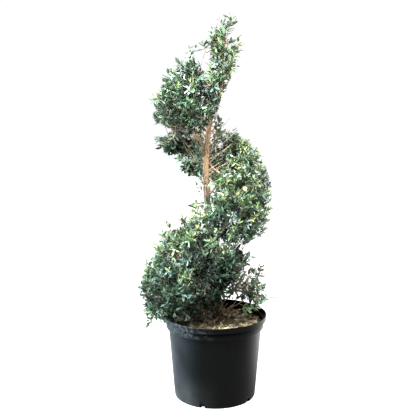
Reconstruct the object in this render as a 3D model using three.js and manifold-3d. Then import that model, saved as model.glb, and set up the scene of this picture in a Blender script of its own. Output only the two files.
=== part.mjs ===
// A spiral topiary: a small-leaved evergreen shrub whose foliage is clipped into a band that winds up
// round the trunk, standing in a black nursery pot filled with bark compost.
// Millimetres, +Z up. The origin is the middle of the pot's flat underside.
import * as THREE from "three";
import { mergeVertices } from "three/addons/utils/BufferGeometryUtils.js";
import Module from "manifold-3d";

const wasm = await Module();
wasm.setup();

// ---------------------------------------------------------------- driving dimensions

const GAP = 0.3; // clearance between two pieces that touch
const FULL_TURN = 2 * Math.PI;

const POT = {
  height: 377,
  baseRadius: 179,
  bodyTopRadius: 202.5,
  bodyTop: 318, // where the tapered body steps out into the lower ring
  ringRadius: 217.5,
  ringTop: 350, // where the lower ring steps out into the lip
  lipRadius: 229,
  step: 5, // height of each outward step
  wall: 3,
  chamfer: 9,
  sides: 36,
  drains: 5,
  drainRadius: 12,
  drainHeight: 9,
  firstDrain: -18, // degrees from the front, towards the left
};

const SOIL = { top: 337, chips: 18, chipLength: 34, chipWidth: 10, chipDepth: 5, clearOfFoot: 62 };

// The trunk's line, from its foot in the compost to its tip.
const TRUNK_LINE = [
  [19, 50, 317],
  [15, 47, 430],
  [-14, 30, 660],
  [-35, 14, 900],
  [-37, 6, 1110],
  [-16, 0, 1270],
  [20, -6, 1460],
  [44, -8, 1572],
];
const TRUNK = { footRadius: 17.5, tipRadius: 3.2, flare: 11, flareHeight: 32, sides: 9, steps: 18 };

// The band of foliage at each quarter turn, from its low end on the right and anticlockwise from above:
// the height of its middle, half its depth from top to bottom, and its reach from the trunk's line.
const BAND_QUARTERS = [
  [494, 118, 240],
  [545, 160, 262],
  [552, 232, 330],
  [666, 232, 262],
  [948, 194, 288],
  [1096, 142, 254],
  [1282, 216, 254],
  [1352, 134, 150],
  [1490, 96, 60],
  [1516, 84, 68],
  [1544, 80, 76],
  [1550, 74, 70],
];
// The lowest turn reaches further out at its foot: how much, and the middles between which this fades.
const SKIRT = { flare: 0.3, top: 580, above: 760 };
const BAND_INNER = 10; // how far from the trunk's line the band begins
const BAND_ROUNDNESS = 2.15; // power of the band's rounded section: 2 is an ellipse
const CELL_SQUARENESS = 8; // how square the ends of a mass are along the band
const CELL_GAP = 2.5; // clearance between neighbouring masses
const LEAF_REACH = 1.08; // how far leaves stand out of the section, as a share of it

// The masses along the band, each with the turns where it begins and ends and how full it is.
const BAND_MASSES = [
  ["skirt_right", -0.08, 0.1, 0.2],
  ["skirt_back_right", 0.1, 0.26, 0.8],
  ["skirt_back_left", 0.26, 0.41, 1],
  ["skirt_left", 0.41, 0.57, 1],
  ["skirt_front_left", 0.57, 0.69, 1],
  ["skirt_front", 0.69, 0.87, 1],
  ["coil_right", 0.87, 1.03, 1],
  ["coil_back_right", 1.03, 1.19, 1],
  ["coil_back_left", 1.19, 1.35, 1],
  ["coil_left", 1.35, 1.51, 1],
  ["crown_front_left", 1.51, 1.68, 1],
  ["crown_front", 1.68, 1.86, 0.9],
  ["crown_right", 1.86, 2.12, 0.5],
  ["crown_back", 2.12, 2.4, 0.5],
  ["crown_left", 2.4, 2.72, 0.5],
];
// Loose sprigs in the spiral's open groove: turns, then middle, half depth and reach.
const SPRIG_MASSES = [
  ["sprig_left", 1.49, 1.62, 1034, 42, 132],
  ["sprig_right", 0.96, 1.09, 1212, 46, 70],
  ["sprig_low", 1.58, 1.72, 876, 52, 100],
];
// Bare boughs that cross the open groove: the mass they enter, the turn, where they leave the trunk
// and how far up the mass they end.
const GROOVE_BOUGHS = [
  ["coil_left", 1.47, 1040, 0.35],
  ["coil_back_left", 1.33, 1150, 0.8],
  ["coil_right", 0.99, 1010, 0.6],
  ["coil_back_right", 1.09, 1030, 0.4],
  ["coil_left", 1.4, 1090, 0.2],
  ["coil_back_left", 1.25, 1075, 0.6],
  ["coil_right", 0.94, 1060, 1],
  ["crown_front_left", 1.57, 1085, 0.1],
];
const STUB = { turn: 0.965, height: 352, length: 98, rise: 34, radius: 3.6 };
const BOUGH = { rootRadius: 5.6, tipRadius: 3.4, slimRoot: 3.8, slimTip: 2.6, sides: 5, steps: 3 };
// A bough's way: where it ends in its mass's section, how far below that it leaves the trunk as a share
// of its run, how far it sags, and how far above the compost it starts at least.
const BOUGH_WAY = { across: -0.52, up: -0.3, drop: 0.95, sag: 0.12, clearOfSoil: 24 };
const SLIM_REACH = 200; // masses that reach less than this have a slim bough

const SPARSE = 0.5; // a mass less full than this has no core
const SPARSE_SHARE = 0.62; // how far out a coreless mass's twigs end, as a share of the mass
const CORE_INSET = { along: 2, across: 8, up: 10 }; // how far a dense core lies inside its mass
const LEAST_CORE = 0.68; // a core's least share of its mass
const SMALL_REACH = 100; // masses that reach less than this have a plainer core
const CORE_LUMP = 0.1;
const CORE_ROUGH = 0.2; // how deep the hollows between a core's tufts are
const PITS = new THREE.Vector3(127, 311, 74); // how fast those hollows change along each axis
// Twigs: how many a mass has, how far they leave its core, the angle they climb on its outer face to
// either side of straight out, and how far they swing along it.
const TWIGS = { full: 7, sparse: 4, proud: 3, arc: 1.7, swing: 0.7 };
const TWIG = { rootRadius: 3.4, tipRadius: 2.2, sides: 3, steps: 1 };
// A mass's stem: its shape, where its tip lies in the mass's section, and how straight it starts.
const STEM = { tipRadius: 2.8, sides: 5, steps: 3, across: 0.15, up: 0.1, lead: 0.4 };
const LEAF = { length: 82, width: 31, thickness: 4.6, sunk: 3, apart: 13, widest: 0.42 };
// How leaves are set on a twig: how many, the turn and drop from one to the next, and the lift and size
// that are tried in turn until a leaf fits its mass.
const LEAF_SPREAD = {
  full: { count: 3, step: 5 },
  sparse: { count: 4, step: 17 },
  turn: 2.2,
  roll: 0.5,
  tries: [
    [0.55, 1],
    [0.25, 1],
    [0.25, 0.8],
    [0.1, 0.6],
  ],
};
// The leader's tip: its stem's length and bare share, and its leaves' number, turn, upward lift and length.
const TIP = { stem: 70, bare: 0.62, leaves: 6, turn: 1.2, lift: 0.75, leafLength: 50 };

// ---------------------------------------------------------------- materials

const finish = (color, roughness) => new THREE.MeshStandardMaterial({ color, roughness, metalness: 0 });
const LEAF_GREENS = [0x2f5a38, 0x386642, 0x2a5140].map((color) => finish(color, 0.45));
const BARK = finish(0x8a6446, 0.85);
const PALE_BARK = finish(0xb08a62, 0.8);
const BLACK_PLASTIC = finish(0x1b1f22, 0.45);
const COMPOST = finish(0x4a3a2a, 0.95);

// ---------------------------------------------------------------- geometry helpers

/** A repeatable stream of numbers from 0 to 1. */
function seeded(seed) {
  let state = seed >>> 0;
  return () => {
    state = (state + 0x6d2b79f5) >>> 0;
    let t = state;
    t = Math.imul(t ^ (t >>> 15), t | 1);
    t ^= t + Math.imul(t ^ (t >>> 7), t | 61);
    return ((t ^ (t >>> 14)) >>> 0) / 4294967296;
  };
}

/** A closed geometry as a solid that can be joined and cut. */
function solidFrom(geometry) {
  const bare = new THREE.BufferGeometry().setAttribute("position", geometry.getAttribute("position"));
  bare.setIndex(geometry.index);
  const merged = mergeVertices(bare, 1e-3);
  return new wasm.Manifold(
    new wasm.Mesh({
      numProp: 3,
      vertProperties: merged.getAttribute("position").array,
      triVerts: new Uint32Array(merged.index.array),
    }),
  );
}

/** The outer body of a solid as a geometry: scraps are dropped and sealed hollows filled. */
function geometryFrom(solid) {
  const bodies = solid.simplify(0.02).decompose();
  const body = bodies.reduce((a, b) => (b.volume() > a.volume() ? b : a));
  const mesh = body.getMesh();
  const geometry = new THREE.BufferGeometry();
  geometry.setAttribute("position", new THREE.BufferAttribute(new Float32Array(mesh.vertProperties), 3));
  geometry.setIndex(new THREE.BufferAttribute(new Uint32Array(mesh.triVerts), 1));
  const faceted = geometry.toNonIndexed();
  faceted.computeVertexNormals();
  return faceted;
}

/** A tapering limb: a closed cylinder bent along a curve, with a radius for each share of its length. */
function limb(curve, radiusAt, sides, steps) {
  const geometry = new THREE.CylinderGeometry(1, 1, 1, sides, steps);
  const frames = curve.computeFrenetFrames(steps, false);
  const position = geometry.getAttribute("position");
  for (let i = 0; i < position.count; i++) {
    const share = position.getY(i) + 0.5;
    const step = Math.round(share * steps);
    const radius = radiusAt(share);
    const point = curve.getPointAt(share);
    point.addScaledVector(frames.normals[step], position.getX(i) * radius);
    point.addScaledVector(frames.binormals[step], -position.getZ(i) * radius);
    position.setXYZ(i, point.x, point.y, point.z);
  }
  return geometry;
}

const taper = (root, tip) => (share) => root + (tip - root) * share;

/** A profile of [radius, height] points turned round the upright axis. */
function turned(profile, sides) {
  const points = profile.map(([radius, height]) => new THREE.Vector2(radius, height));
  return new THREE.LatheGeometry(points, sides).rotateX(Math.PI / 2);
}

// ---------------------------------------------------------------- trunk

const trunkCurve = new THREE.CatmullRomCurve3(
  TRUNK_LINE.map((point) => new THREE.Vector3(...point)),
  false,
  "centripetal",
);
const trunkStations = trunkCurve.getSpacedPoints(240);
const TRUNK_LENGTH = trunkCurve.getLength();

/** The trunk's middle at a height, carried straight on above its tip. */
function trunkAt(height) {
  const last = trunkStations.length - 1;
  let i = trunkStations.findIndex((point) => point.z > height);
  i = i < 1 ? (i === 0 ? 1 : last) : i;
  const [low, high] = [trunkStations[i - 1], trunkStations[i]];
  return low.clone().lerp(high, (height - low.z) / (high.z - low.z));
}

function trunkRadius(share) {
  const straight = TRUNK.footRadius + (TRUNK.tipRadius - TRUNK.footRadius) * Math.pow(share, 1.25);
  return straight + TRUNK.flare * Math.exp((-share * TRUNK_LENGTH) / TRUNK.flareHeight);
}

const trunkRadiusAtHeight = (height) =>
  trunkRadius((height - TRUNK_LINE[0][2]) / (TRUNK_LINE.at(-1)[2] - TRUNK_LINE[0][2]));

/** The trunk, widened by a clearance where it is used to cut its neighbours. */
function trunkSolid(clearance = 0) {
  const round = limb(trunkCurve, (share) => trunkRadius(share) + clearance, TRUNK.sides, TRUNK.steps);
  return solidFrom(round).trimByPlane([0, 0, 1], SOIL.top + GAP - clearance);
}

const widenedTrunk = trunkSolid(GAP);

// ---------------------------------------------------------------- the spiral band

const bandCurve = new THREE.CatmullRomCurve3(
  BAND_QUARTERS.map((quarter) => new THREE.Vector3(...quarter)),
  false,
  "catmullrom",
  0.5,
);

/** The band's middle height, half depth and reach at a turn. */
function bandAt(turn) {
  const share = THREE.MathUtils.clamp((turn * 4) / (BAND_QUARTERS.length - 1), 0, 1);
  const { x: middle, y: half, z: reach } = bandCurve.getPoint(share);
  return { middle, half, reach };
}

/** How far a section of the band reaches at a level from -1, its foot, to 1, its top. */
function reachAt({ middle, reach }, up) {
  const inSkirt = 1 - THREE.MathUtils.smoothstep(middle, SKIRT.top, SKIRT.above);
  return reach * (1 - SKIRT.flare * up * inSkirt);
}

/** The point of a cell at a turn, across from the trunk's side (-1) to the outside (1) and up (-1 to 1). */
function cellPoint(cell, turn, across, up) {
  const section = cell.shape(turn);
  const height = section.middle + up * section.half;
  const radius = BAND_INNER + ((across + 1) / 2) * (reachAt(section, up) - BAND_INNER);
  const angle = turn * FULL_TURN;
  return trunkAt(height).add(new THREE.Vector3(radius * Math.cos(angle), radius * Math.sin(angle), 0));
}

/** Where a point lies in the band's rounded section, from 0 in its middle to 1 on its outline. */
const sectionSize = (across, up) =>
  (Math.abs(across) ** BAND_ROUNDNESS + Math.abs(up) ** BAND_ROUNDNESS) ** (1 / BAND_ROUNDNESS);

/** Whether a point lies in a cell, clear of the cells beside it. */
function inCell(cell, point) {
  const axis = trunkAt(point.z);
  const [x, y] = [point.x - axis.x, point.y - axis.y];
  const radius = Math.hypot(x, y);
  const turn = Math.atan2(y, x) / FULL_TURN;
  const nearest = turn + Math.round(cell.turn - turn);
  const side = (cell.halfTurn - Math.abs(nearest - cell.turn)) * FULL_TURN * radius;
  const section = cell.shape(nearest);
  const up = (point.z - section.middle) / section.half;
  const across = (2 * (radius - BAND_INNER)) / (reachAt(section, up) - BAND_INNER) - 1;
  return side > CELL_GAP && sectionSize(across, up) < LEAF_REACH;
}

const cellOf = (name, from, to, fullness, shape, seed) => ({
  name,
  turn: (from + to) / 2,
  halfTurn: (to - from) / 2,
  fullness,
  shape,
  seed,
});

const bandCells = BAND_MASSES.map(([name, from, to, fullness], i) =>
  cellOf(name, from, to, fullness, bandAt, 101 + 17 * i),
);
const sprigCells = SPRIG_MASSES.map(([name, from, to, middle, half, reach], i) =>
  cellOf(name, from, to, 0.3, () => ({ middle, half, reach }), 701 + 17 * i),
);

// ---------------------------------------------------------------- boughs

/** A bough's line: out from the trunk at a height, then up into its mass. */
function boughLine(springHeight, end) {
  const start = trunkAt(springHeight);
  const bend = start.clone().lerp(end, 0.5);
  bend.z -= BOUGH_WAY.sag * start.distanceTo(end);
  return new THREE.QuadraticBezierCurve3(start, bend, end);
}

/** A bough, widened and lengthened by a clearance where it is used to cut its mass. */
function boughSolid(line, root, tip, clearance = 0) {
  const end = line.v2.clone().addScaledVector(line.getTangent(1), clearance * 1.5);
  const reached = new THREE.QuadraticBezierCurve3(line.v0, line.v1, end);
  const radiusAt = (share) => taper(root, tip)(share) + clearance;
  return solidFrom(limb(reached, radiusAt, BOUGH.sides, BOUGH.steps));
}

/** The main bough of a cell, which ends where the mass's stem begins. */
function mainBough(cell) {
  const slim = cell.fullness < SPARSE || cell.shape(cell.turn).reach < SLIM_REACH;
  const [root, tip] = slim ? [BOUGH.slimRoot, BOUGH.slimTip] : [BOUGH.rootRadius, BOUGH.tipRadius];
  const end = cellPoint(cell, cell.turn, BOUGH_WAY.across, BOUGH_WAY.up);
  const run = Math.hypot(end.x - trunkAt(end.z).x, end.y - trunkAt(end.z).y);
  const springHeight = Math.max(SOIL.top + BOUGH_WAY.clearOfSoil, end.z - BOUGH_WAY.drop * run);
  return { name: "bough_" + cell.name, line: boughLine(springHeight, end), root, tip };
}

const boughMesh = (bough, material = BARK) => {
  const solid = boughSolid(bough.line, bough.root, bough.tip).subtract(widenedTrunk);
  return meshOf(bough.name, solid, material);
};

// ---------------------------------------------------------------- leaves, twigs and masses

/** A leaf: eight faces, from its sunk root to its tip, as a solid with its corner points. */
function leaf(root, direction, side, length) {
  const along = direction.clone().normalize();
  const across = side.clone().cross(along).normalize();
  const face = across.clone().cross(along);
  const start = root.clone().addScaledVector(along, -LEAF.sunk);
  const belly = start.clone().addScaledVector(along, length * LEAF.widest);
  const scale = length / LEAF.length;
  const geometry = new THREE.OctahedronGeometry(1, 0);
  const position = geometry.getAttribute("position");
  const corners = [];
  for (let i = 0; i < position.count; i++) {
    const [x, y, z] = [position.getX(i), position.getY(i), position.getZ(i)];
    const point = belly.clone();
    point.addScaledVector(across, (x * LEAF.width * scale) / 2);
    point.addScaledVector(face, (z * LEAF.thickness * scale) / 2);
    if (y > 0.5) point.addScaledVector(along, length * (1 - LEAF.widest));
    if (y < -0.5) point.copy(start);
    position.setXYZ(i, point.x, point.y, point.z);
    corners.push(point);
  }
  const tip = belly.clone().addScaledVector(along, length * (1 - LEAF.widest));
  const samples = [belly, tip, belly.clone().lerp(tip, 0.5)];
  return { solid: solidFrom(geometry), corners, heart: belly, size: length / 2, samples };
}

const twigSolid = (line, root, tip) =>
  solidFrom(limb(line, taper(root, tip), TWIG.sides, TWIG.steps));

/** A line with a slight bow to one side. */
function bowed(start, end, bow, random) {
  const middle = start.clone().lerp(end, 0.5);
  middle.addScaledVector(anyPush(random), 2 * bow * start.distanceTo(end));
  return new THREE.QuadraticBezierCurve3(start, middle, end);
}

/** Directions that climb the outer face of a mass from its foot to its top, swinging from side to side. */
function outerDirections(count, start) {
  return Array.from({ length: count }, (_, i) => {
    const climb = THREE.MathUtils.lerp(-TWIGS.arc, TWIGS.arc, (i + 0.5) / count);
    const swing = (((start + i * 0.618) % 1) - 0.5) * 2 * TWIGS.swing;
    return new THREE.Vector3(Math.cos(climb), swing, Math.sin(climb)).normalize();
  });
}

/** How much smaller a cell's core is than the cell: outwards, along the band and up. */
function coreShares(cell) {
  const { half, reach } = cell.shape(cell.turn);
  const halfWidth = (reach - BAND_INNER) / 2;
  const halfLength = cell.halfTurn * FULL_TURN * (BAND_INNER + halfWidth);
  const inset = { across: CORE_INSET.across / halfWidth, along: CORE_INSET.along / halfLength };
  return [inset.across, inset.along, CORE_INSET.up / half].map((part) => Math.max(LEAST_CORE, 1 - part));
}

/** The point of a cell in a direction from its heart: x outwards, y along the band, z up. */
function cellPointTowards(cell, direction, shares) {
  const [out, along, up] = direction.toArray();
  const n = CELL_SQUARENESS;
  const size = (sectionSize(out, up) ** n + Math.abs(along) ** n) ** (-1 / n);
  const turn = cell.turn + along * size * shares[1] * cell.halfTurn;
  return cellPoint(cell, turn, out * size * shares[0], up * size * shares[2]);
}

/** A value from 0 to 1 that jumps about with direction, the same each time. */
const pitted = (direction) => Math.abs((Math.sin(direction.dot(PITS)) * PITS.length()) % 1);

/** The dense lumpy heart of a clipped mass. */
function coreSolid(cell, random) {
  const shares = coreShares(cell);
  const geometry = new THREE.IcosahedronGeometry(1, cell.shape(cell.turn).reach > SMALL_REACH ? 2 : 1);
  const position = geometry.getAttribute("position");
  const phase = [random(), random(), random()].map((value) => value * FULL_TURN);
  for (let i = 0; i < position.count; i++) {
    const direction = new THREE.Vector3().fromBufferAttribute(position, i).normalize();
    const wave = Math.sin(5 * direction.x + phase[0]) + Math.sin(5 * direction.z + phase[2]);
    const lump = 1 + CORE_LUMP * (wave / 4 - 0.5) - CORE_ROUGH * pitted(direction);
    const sides = shares[1] * (1 - (1 - lump) / 2);
    const point = cellPointTowards(cell, direction, [shares[0] * lump, sides, shares[2] * lump]);
    position.setXYZ(i, point.x, point.y, point.z);
  }
  return solidFrom(geometry);
}

/** Whether a point is above the pot's lip, or beside the pot. */
const clearOfPot = (point) =>
  point.z > POT.height + CELL_GAP || Math.hypot(point.x, point.y) > POT.lipRadius + CELL_GAP;

const touchesLimb = (limbs, point, clearance) =>
  limbs.some(({ stations }) => stations.some(([at, radius]) => at.distanceTo(point) < radius + clearance));

/** Points and radii along a limb, for finding what would touch it. */
function stationsOf(line, radiusAt) {
  const count = 24;
  return Array.from({ length: count + 1 }, (_, i) => [line.getPoint(i / count), radiusAt(i / count)]);
}

const anyPush = (random) => new THREE.Vector3(random() - 0.5, random() - 0.5, random() - 0.5);
const anyDirection = (random) => anyPush(random).normalize();

/** The leaves on a twig, set round it from its tip down: each is lowered and shortened until it fits. */
function spray(line, outward, { count, step }, fits, random) {
  const across = anyDirection(random).cross(outward).normalize();
  const beside = outward.clone().cross(across);
  const found = [];
  for (let i = 0; i < count; i++) {
    const angle = i * LEAF_SPREAD.turn;
    const flat = across.clone().multiplyScalar(Math.cos(angle)).addScaledVector(beside, Math.sin(angle));
    const at = line.getPointAt(Math.max(0.1, 1 - (i * step) / line.getLength()));
    const face = outward.clone().addScaledVector(anyDirection(random), LEAF_SPREAD.roll);
    const length = LEAF.length * (0.88 + 0.24 * random());
    const made = LEAF_SPREAD.tries
      .map(([lift, size]) => leaf(at, flat.clone().addScaledVector(outward, lift), face, length * size))
      .find((tried) => fits(tried, found));
    if (made) found.push(made);
  }
  return found;
}

/** A mass: one stem, twigs that branch from it, leaves, and a dense core where the mass is clipped full. */
function massSolid(cell, bough, limbs) {
  const random = seeded(cell.seed);
  const heading = bough.line.getTangent(1);
  const start = bough.line.v2.clone().addScaledVector(heading, GAP);
  const heart = cellPoint(cell, cell.turn, STEM.across, STEM.up);
  const bend = start.clone().addScaledVector(heading, STEM.lead * start.distanceTo(heart));
  const stemLine = new THREE.QuadraticBezierCurve3(start, bend, heart);
  const stem = solidFrom(limb(stemLine, taper(bough.tip, STEM.tipRadius), STEM.sides, STEM.steps));
  const placed = [];
  const fits = ({ corners, heart: middle, size, samples }, beside) =>
    corners.every((point) => inCell(cell, point) && clearOfPot(point)) &&
    !touchesLimb(limbs, middle, size * 0.5 + CELL_GAP) &&
    [...placed, ...beside].every((other) =>
      samples.every((point) => other.samples.every((taken) => taken.distanceTo(point) > LEAF.apart)),
    );
  const parts = [stem];
  const sparse = cell.fullness < SPARSE;
  const shares = sparse ? Array(3).fill(SPARSE_SHARE) : coreShares(cell);
  if (!sparse) parts.push(coreSolid(cell, random).subtract(widenedPot));
  const twigs = Math.round(THREE.MathUtils.lerp(TWIGS.sparse, TWIGS.full, cell.fullness));
  for (const direction of outerDirections(twigs, random())) {
    const root = stemLine.getPoint(0.35 + 0.65 * random());
    const end = cellPointTowards(cell, direction, shares);
    end.addScaledVector(cellPointTowards(cell, direction, [1, 1, 1]).sub(end).normalize(), TWIGS.proud);
    const line = bowed(root, end, 0.05, random);
    const clear = stationsOf(line, () => TWIG.rootRadius)
      .slice(10)
      .every(
        ([point, radius]) =>
          !touchesLimb(limbs, point, radius + CELL_GAP) && inCell(cell, point) && clearOfPot(point),
      );
    if (!clear) continue;
    parts.push(twigSolid(line, TWIG.rootRadius, TWIG.tipRadius));
    const outward = cellPointTowards(cell, direction, [1, 1, 1]).sub(end).normalize();
    const leaves = spray(line, outward, sparse ? LEAF_SPREAD.sparse : LEAF_SPREAD.full, fits, random);
    parts.push(...leaves.map(({ solid }) => solid));
    placed.push(...leaves);
  }
  return limbs.reduce((mass, { widened }) => mass.subtract(widened), wasm.Manifold.union(parts));
}

/** The leader's tip: a stem that carries the trunk on, with crossed pairs of leaves. */
function tipSolid() {
  const random = seeded(977);
  const tangent = trunkCurve.getTangent(1);
  const start = trunkStations.at(-1).clone().addScaledVector(tangent, GAP);
  const end = start.clone().addScaledVector(tangent, TIP.stem);
  const parts = [twigSolid(new THREE.LineCurve3(start, end), TRUNK.tipRadius, TWIG.tipRadius)];
  for (let i = 0; i < TIP.leaves; i++) {
    const share = i / TIP.leaves;
    const angle = i * Math.PI + Math.floor(i / 2) * TIP.turn;
    const away = new THREE.Vector3(Math.cos(angle), Math.sin(angle), TIP.lift + share);
    const face = new THREE.Vector3(-away.y, away.x, TIP.lift).cross(away).addScaledVector(away, random());
    const at = start.clone().lerp(end, TIP.bare + (1 - TIP.bare) * share);
    parts.push(leaf(at, away, face, TIP.leafLength * (1 - 0.25 * share)).solid);
  }
  parts.push(leaf(end, tangent, new THREE.Vector3(0, -1, 0), TIP.leafLength).solid);
  return wasm.Manifold.union(parts);
}

// ---------------------------------------------------------------- pot and compost

/** The pot's outer wall, from its underside to its lip, as [radius, height] points. */
function outerWall() {
  const { baseRadius, chamfer, bodyTopRadius, bodyTop, ringRadius, ringTop, lipRadius, step, height } = POT;
  return [
    [baseRadius - chamfer, 0],
    [baseRadius, chamfer],
    [bodyTopRadius, bodyTop],
    [ringRadius, bodyTop + step],
    [ringRadius + 1, ringTop],
    [lipRadius, ringTop + step],
    [lipRadius, height - 3],
    [lipRadius - 2, height],
  ];
}

/** The pot's inner wall, from its rim down to its floor. */
function innerWall() {
  const rise = outerWall().slice(1, 7);
  return rise
    .map(([radius, height], i) => [radius - POT.wall, i === 0 ? POT.wall : height + (i === 5 ? 3 : 1)])
    .reverse();
}

function potSolid() {
  let pot = solidFrom(turned([[0, 0], ...outerWall(), ...innerWall(), [0, POT.wall]], POT.sides));
  for (let i = 0; i < POT.drains; i++) {
    const angle = THREE.MathUtils.degToRad(POT.firstDrain - 90) + (i * FULL_TURN) / POT.drains;
    const hole = new THREE.CylinderGeometry(POT.drainRadius, POT.drainRadius, 40, 8);
    hole.rotateZ(Math.PI / 2).translate(POT.baseRadius - 4, 0, POT.drainHeight).rotateZ(angle);
    pot = pot.subtract(solidFrom(hole));
  }
  return pot;
}

function compostSolid() {
  const random = seeded(5);
  const wall = innerWall()
    .filter(([, height]) => height < SOIL.top)
    .reverse()
    .map(([radius, height]) => [radius - GAP, height + GAP]);
  const topRadius = wall.at(-1)[0];
  const body = turned([[0, POT.wall + GAP], ...wall, [topRadius, SOIL.top], [0, SOIL.top]], POT.sides);
  const parts = [solidFrom(body)];
  const foot = trunkAt(SOIL.top);
  while (parts.length <= SOIL.chips) {
    const radius = (topRadius - SOIL.chipLength) * Math.sqrt(random());
    const angle = random() * FULL_TURN;
    const at = new THREE.Vector3(radius * Math.cos(angle), radius * Math.sin(angle), SOIL.top);
    const long = SOIL.chipLength * (0.6 + 0.6 * random());
    const chip = new THREE.BoxGeometry(long, SOIL.chipWidth * (0.6 + 0.7 * random()), SOIL.chipDepth);
    chip.rotateY((random() - 0.5) * 0.3).rotateZ(random() * FULL_TURN).translate(at.x, at.y, at.z);
    if (at.distanceTo(foot) > SOIL.clearOfFoot) parts.push(solidFrom(chip));
  }
  return wasm.Manifold.union(parts);
}

// ---------------------------------------------------------------- assembly

function meshOf(name, solid, material) {
  const mesh = new THREE.Mesh(geometryFrom(solid), material);
  mesh.name = name;
  return mesh;
}

const plant = new THREE.Group();
const cells = [...bandCells, ...sprigCells];
const boughs = new Map(cells.map((cell) => [cell.name, mainBough(cell)]));
const grooveBoughs = GROOVE_BOUGHS.map(([mass, turn, springHeight, up], i) => {
  const cell = cells.find(({ name }) => name === mass);
  const end = cellPoint(cell, turn, -0.35, up - 0.5);
  const line = boughLine(springHeight, end);
  return { name: "bough_groove_" + (i + 1), line, root: BOUGH.slimRoot, tip: BOUGH.slimTip };
});

/** The bare stub of a bough cut off near the foot. */
function prunedStub() {
  const start = trunkAt(STUB.height);
  const angle = STUB.turn * FULL_TURN;
  const run = new THREE.Vector3(Math.cos(angle), Math.sin(angle), 0).multiplyScalar(STUB.length);
  const end = start.add(run).setZ(STUB.height + STUB.rise);
  return { name: "pruned_stub", line: boughLine(STUB.height, end), root: STUB.radius, tip: STUB.radius };
}

// What the cores are kept clear of: the pot and the air above its compost.
const widenedPot = solidFrom(
  new THREE.CylinderGeometry(POT.lipRadius + 6, POT.lipRadius + 6, POT.height + 6, POT.sides)
    .rotateX(Math.PI / 2)
    .translate(0, 0, (POT.height + 6) / 2),
);

const stub = prunedStub();
const limbs = [stub, ...boughs.values(), ...grooveBoughs].map((bough) => ({
  stations: stationsOf(bough.line, taper(bough.root, bough.tip)),
  widened: boughSolid(bough.line, bough.root, bough.tip, GAP),
}));
limbs.push({ stations: trunkStations.map((at) => [at, trunkRadiusAtHeight(at.z)]), widened: widenedTrunk });

plant.add(meshOf("pot", potSolid(), BLACK_PLASTIC));
plant.add(meshOf("compost", compostSolid(), COMPOST));
plant.add(meshOf("trunk", trunkSolid(), BARK));

plant.add(boughMesh(stub, PALE_BARK));

cells.forEach((cell, i) => {
  const bough = boughs.get(cell.name);
  plant.add(boughMesh(bough));
  const mass = massSolid(cell, bough, limbs);
  plant.add(meshOf("foliage_" + cell.name, mass, LEAF_GREENS[i % LEAF_GREENS.length]));
});
for (const bough of grooveBoughs) plant.add(boughMesh(bough, PALE_BARK));
plant.add(meshOf("foliage_tip", tipSolid(), LEAF_GREENS[1]));

export default plant;
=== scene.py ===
"""Looks of a spiral topiary in its nursery pot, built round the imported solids.

The plant grows by the same rule as the solids, carried on to finer twigs and life-size leaves.
The rule and the builders work in millimetres; every Blender mesh is in metres, +Z up.
"""
import logging
import math
from dataclasses import dataclass, field
from enum import Enum, IntEnum
from typing import Callable, Iterable, Optional, Sequence

import bpy
import numpy as np
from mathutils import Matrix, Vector


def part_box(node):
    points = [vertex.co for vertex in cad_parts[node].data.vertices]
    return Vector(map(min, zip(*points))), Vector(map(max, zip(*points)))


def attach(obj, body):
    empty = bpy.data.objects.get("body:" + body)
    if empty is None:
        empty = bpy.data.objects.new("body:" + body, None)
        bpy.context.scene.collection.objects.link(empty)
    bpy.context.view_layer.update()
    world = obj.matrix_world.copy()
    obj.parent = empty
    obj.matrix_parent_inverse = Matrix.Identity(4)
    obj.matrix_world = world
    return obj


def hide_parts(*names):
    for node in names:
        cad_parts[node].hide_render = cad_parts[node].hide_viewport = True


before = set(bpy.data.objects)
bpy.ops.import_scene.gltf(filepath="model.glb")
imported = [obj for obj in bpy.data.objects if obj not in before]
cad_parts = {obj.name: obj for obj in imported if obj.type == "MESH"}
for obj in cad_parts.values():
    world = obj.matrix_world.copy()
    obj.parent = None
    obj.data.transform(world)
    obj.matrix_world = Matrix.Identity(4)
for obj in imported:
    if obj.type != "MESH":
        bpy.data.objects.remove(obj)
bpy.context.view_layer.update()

log = logging.getLogger("topiary")

MM = 0.001
TURN = 2 * math.pi
UP = np.array([0.0, 0.0, 1.0])
Array = np.ndarray
Random = np.random.Generator
Piece = bpy.types.Object
Material = bpy.types.Material
Socket = bpy.types.NodeSocket


# ---------------------------------------------------------------------------- small vector helpers


def unit(vectors: Array) -> Array:
    """Scale each vector to length one."""
    return vectors / np.maximum(np.linalg.norm(vectors, axis=-1, keepdims=True), 1e-9)


def mix(low: float, high: float, share: float) -> float:
    """Blend two numbers by a share."""
    return low + (high - low) * share


def smooth_step(values: Array, low: float, high: float) -> Array:
    """Rise smoothly from 0 at low to 1 at high."""
    share = np.clip((values - low) / (high - low), 0, 1)
    return share * share * (3 - 2 * share)


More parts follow.
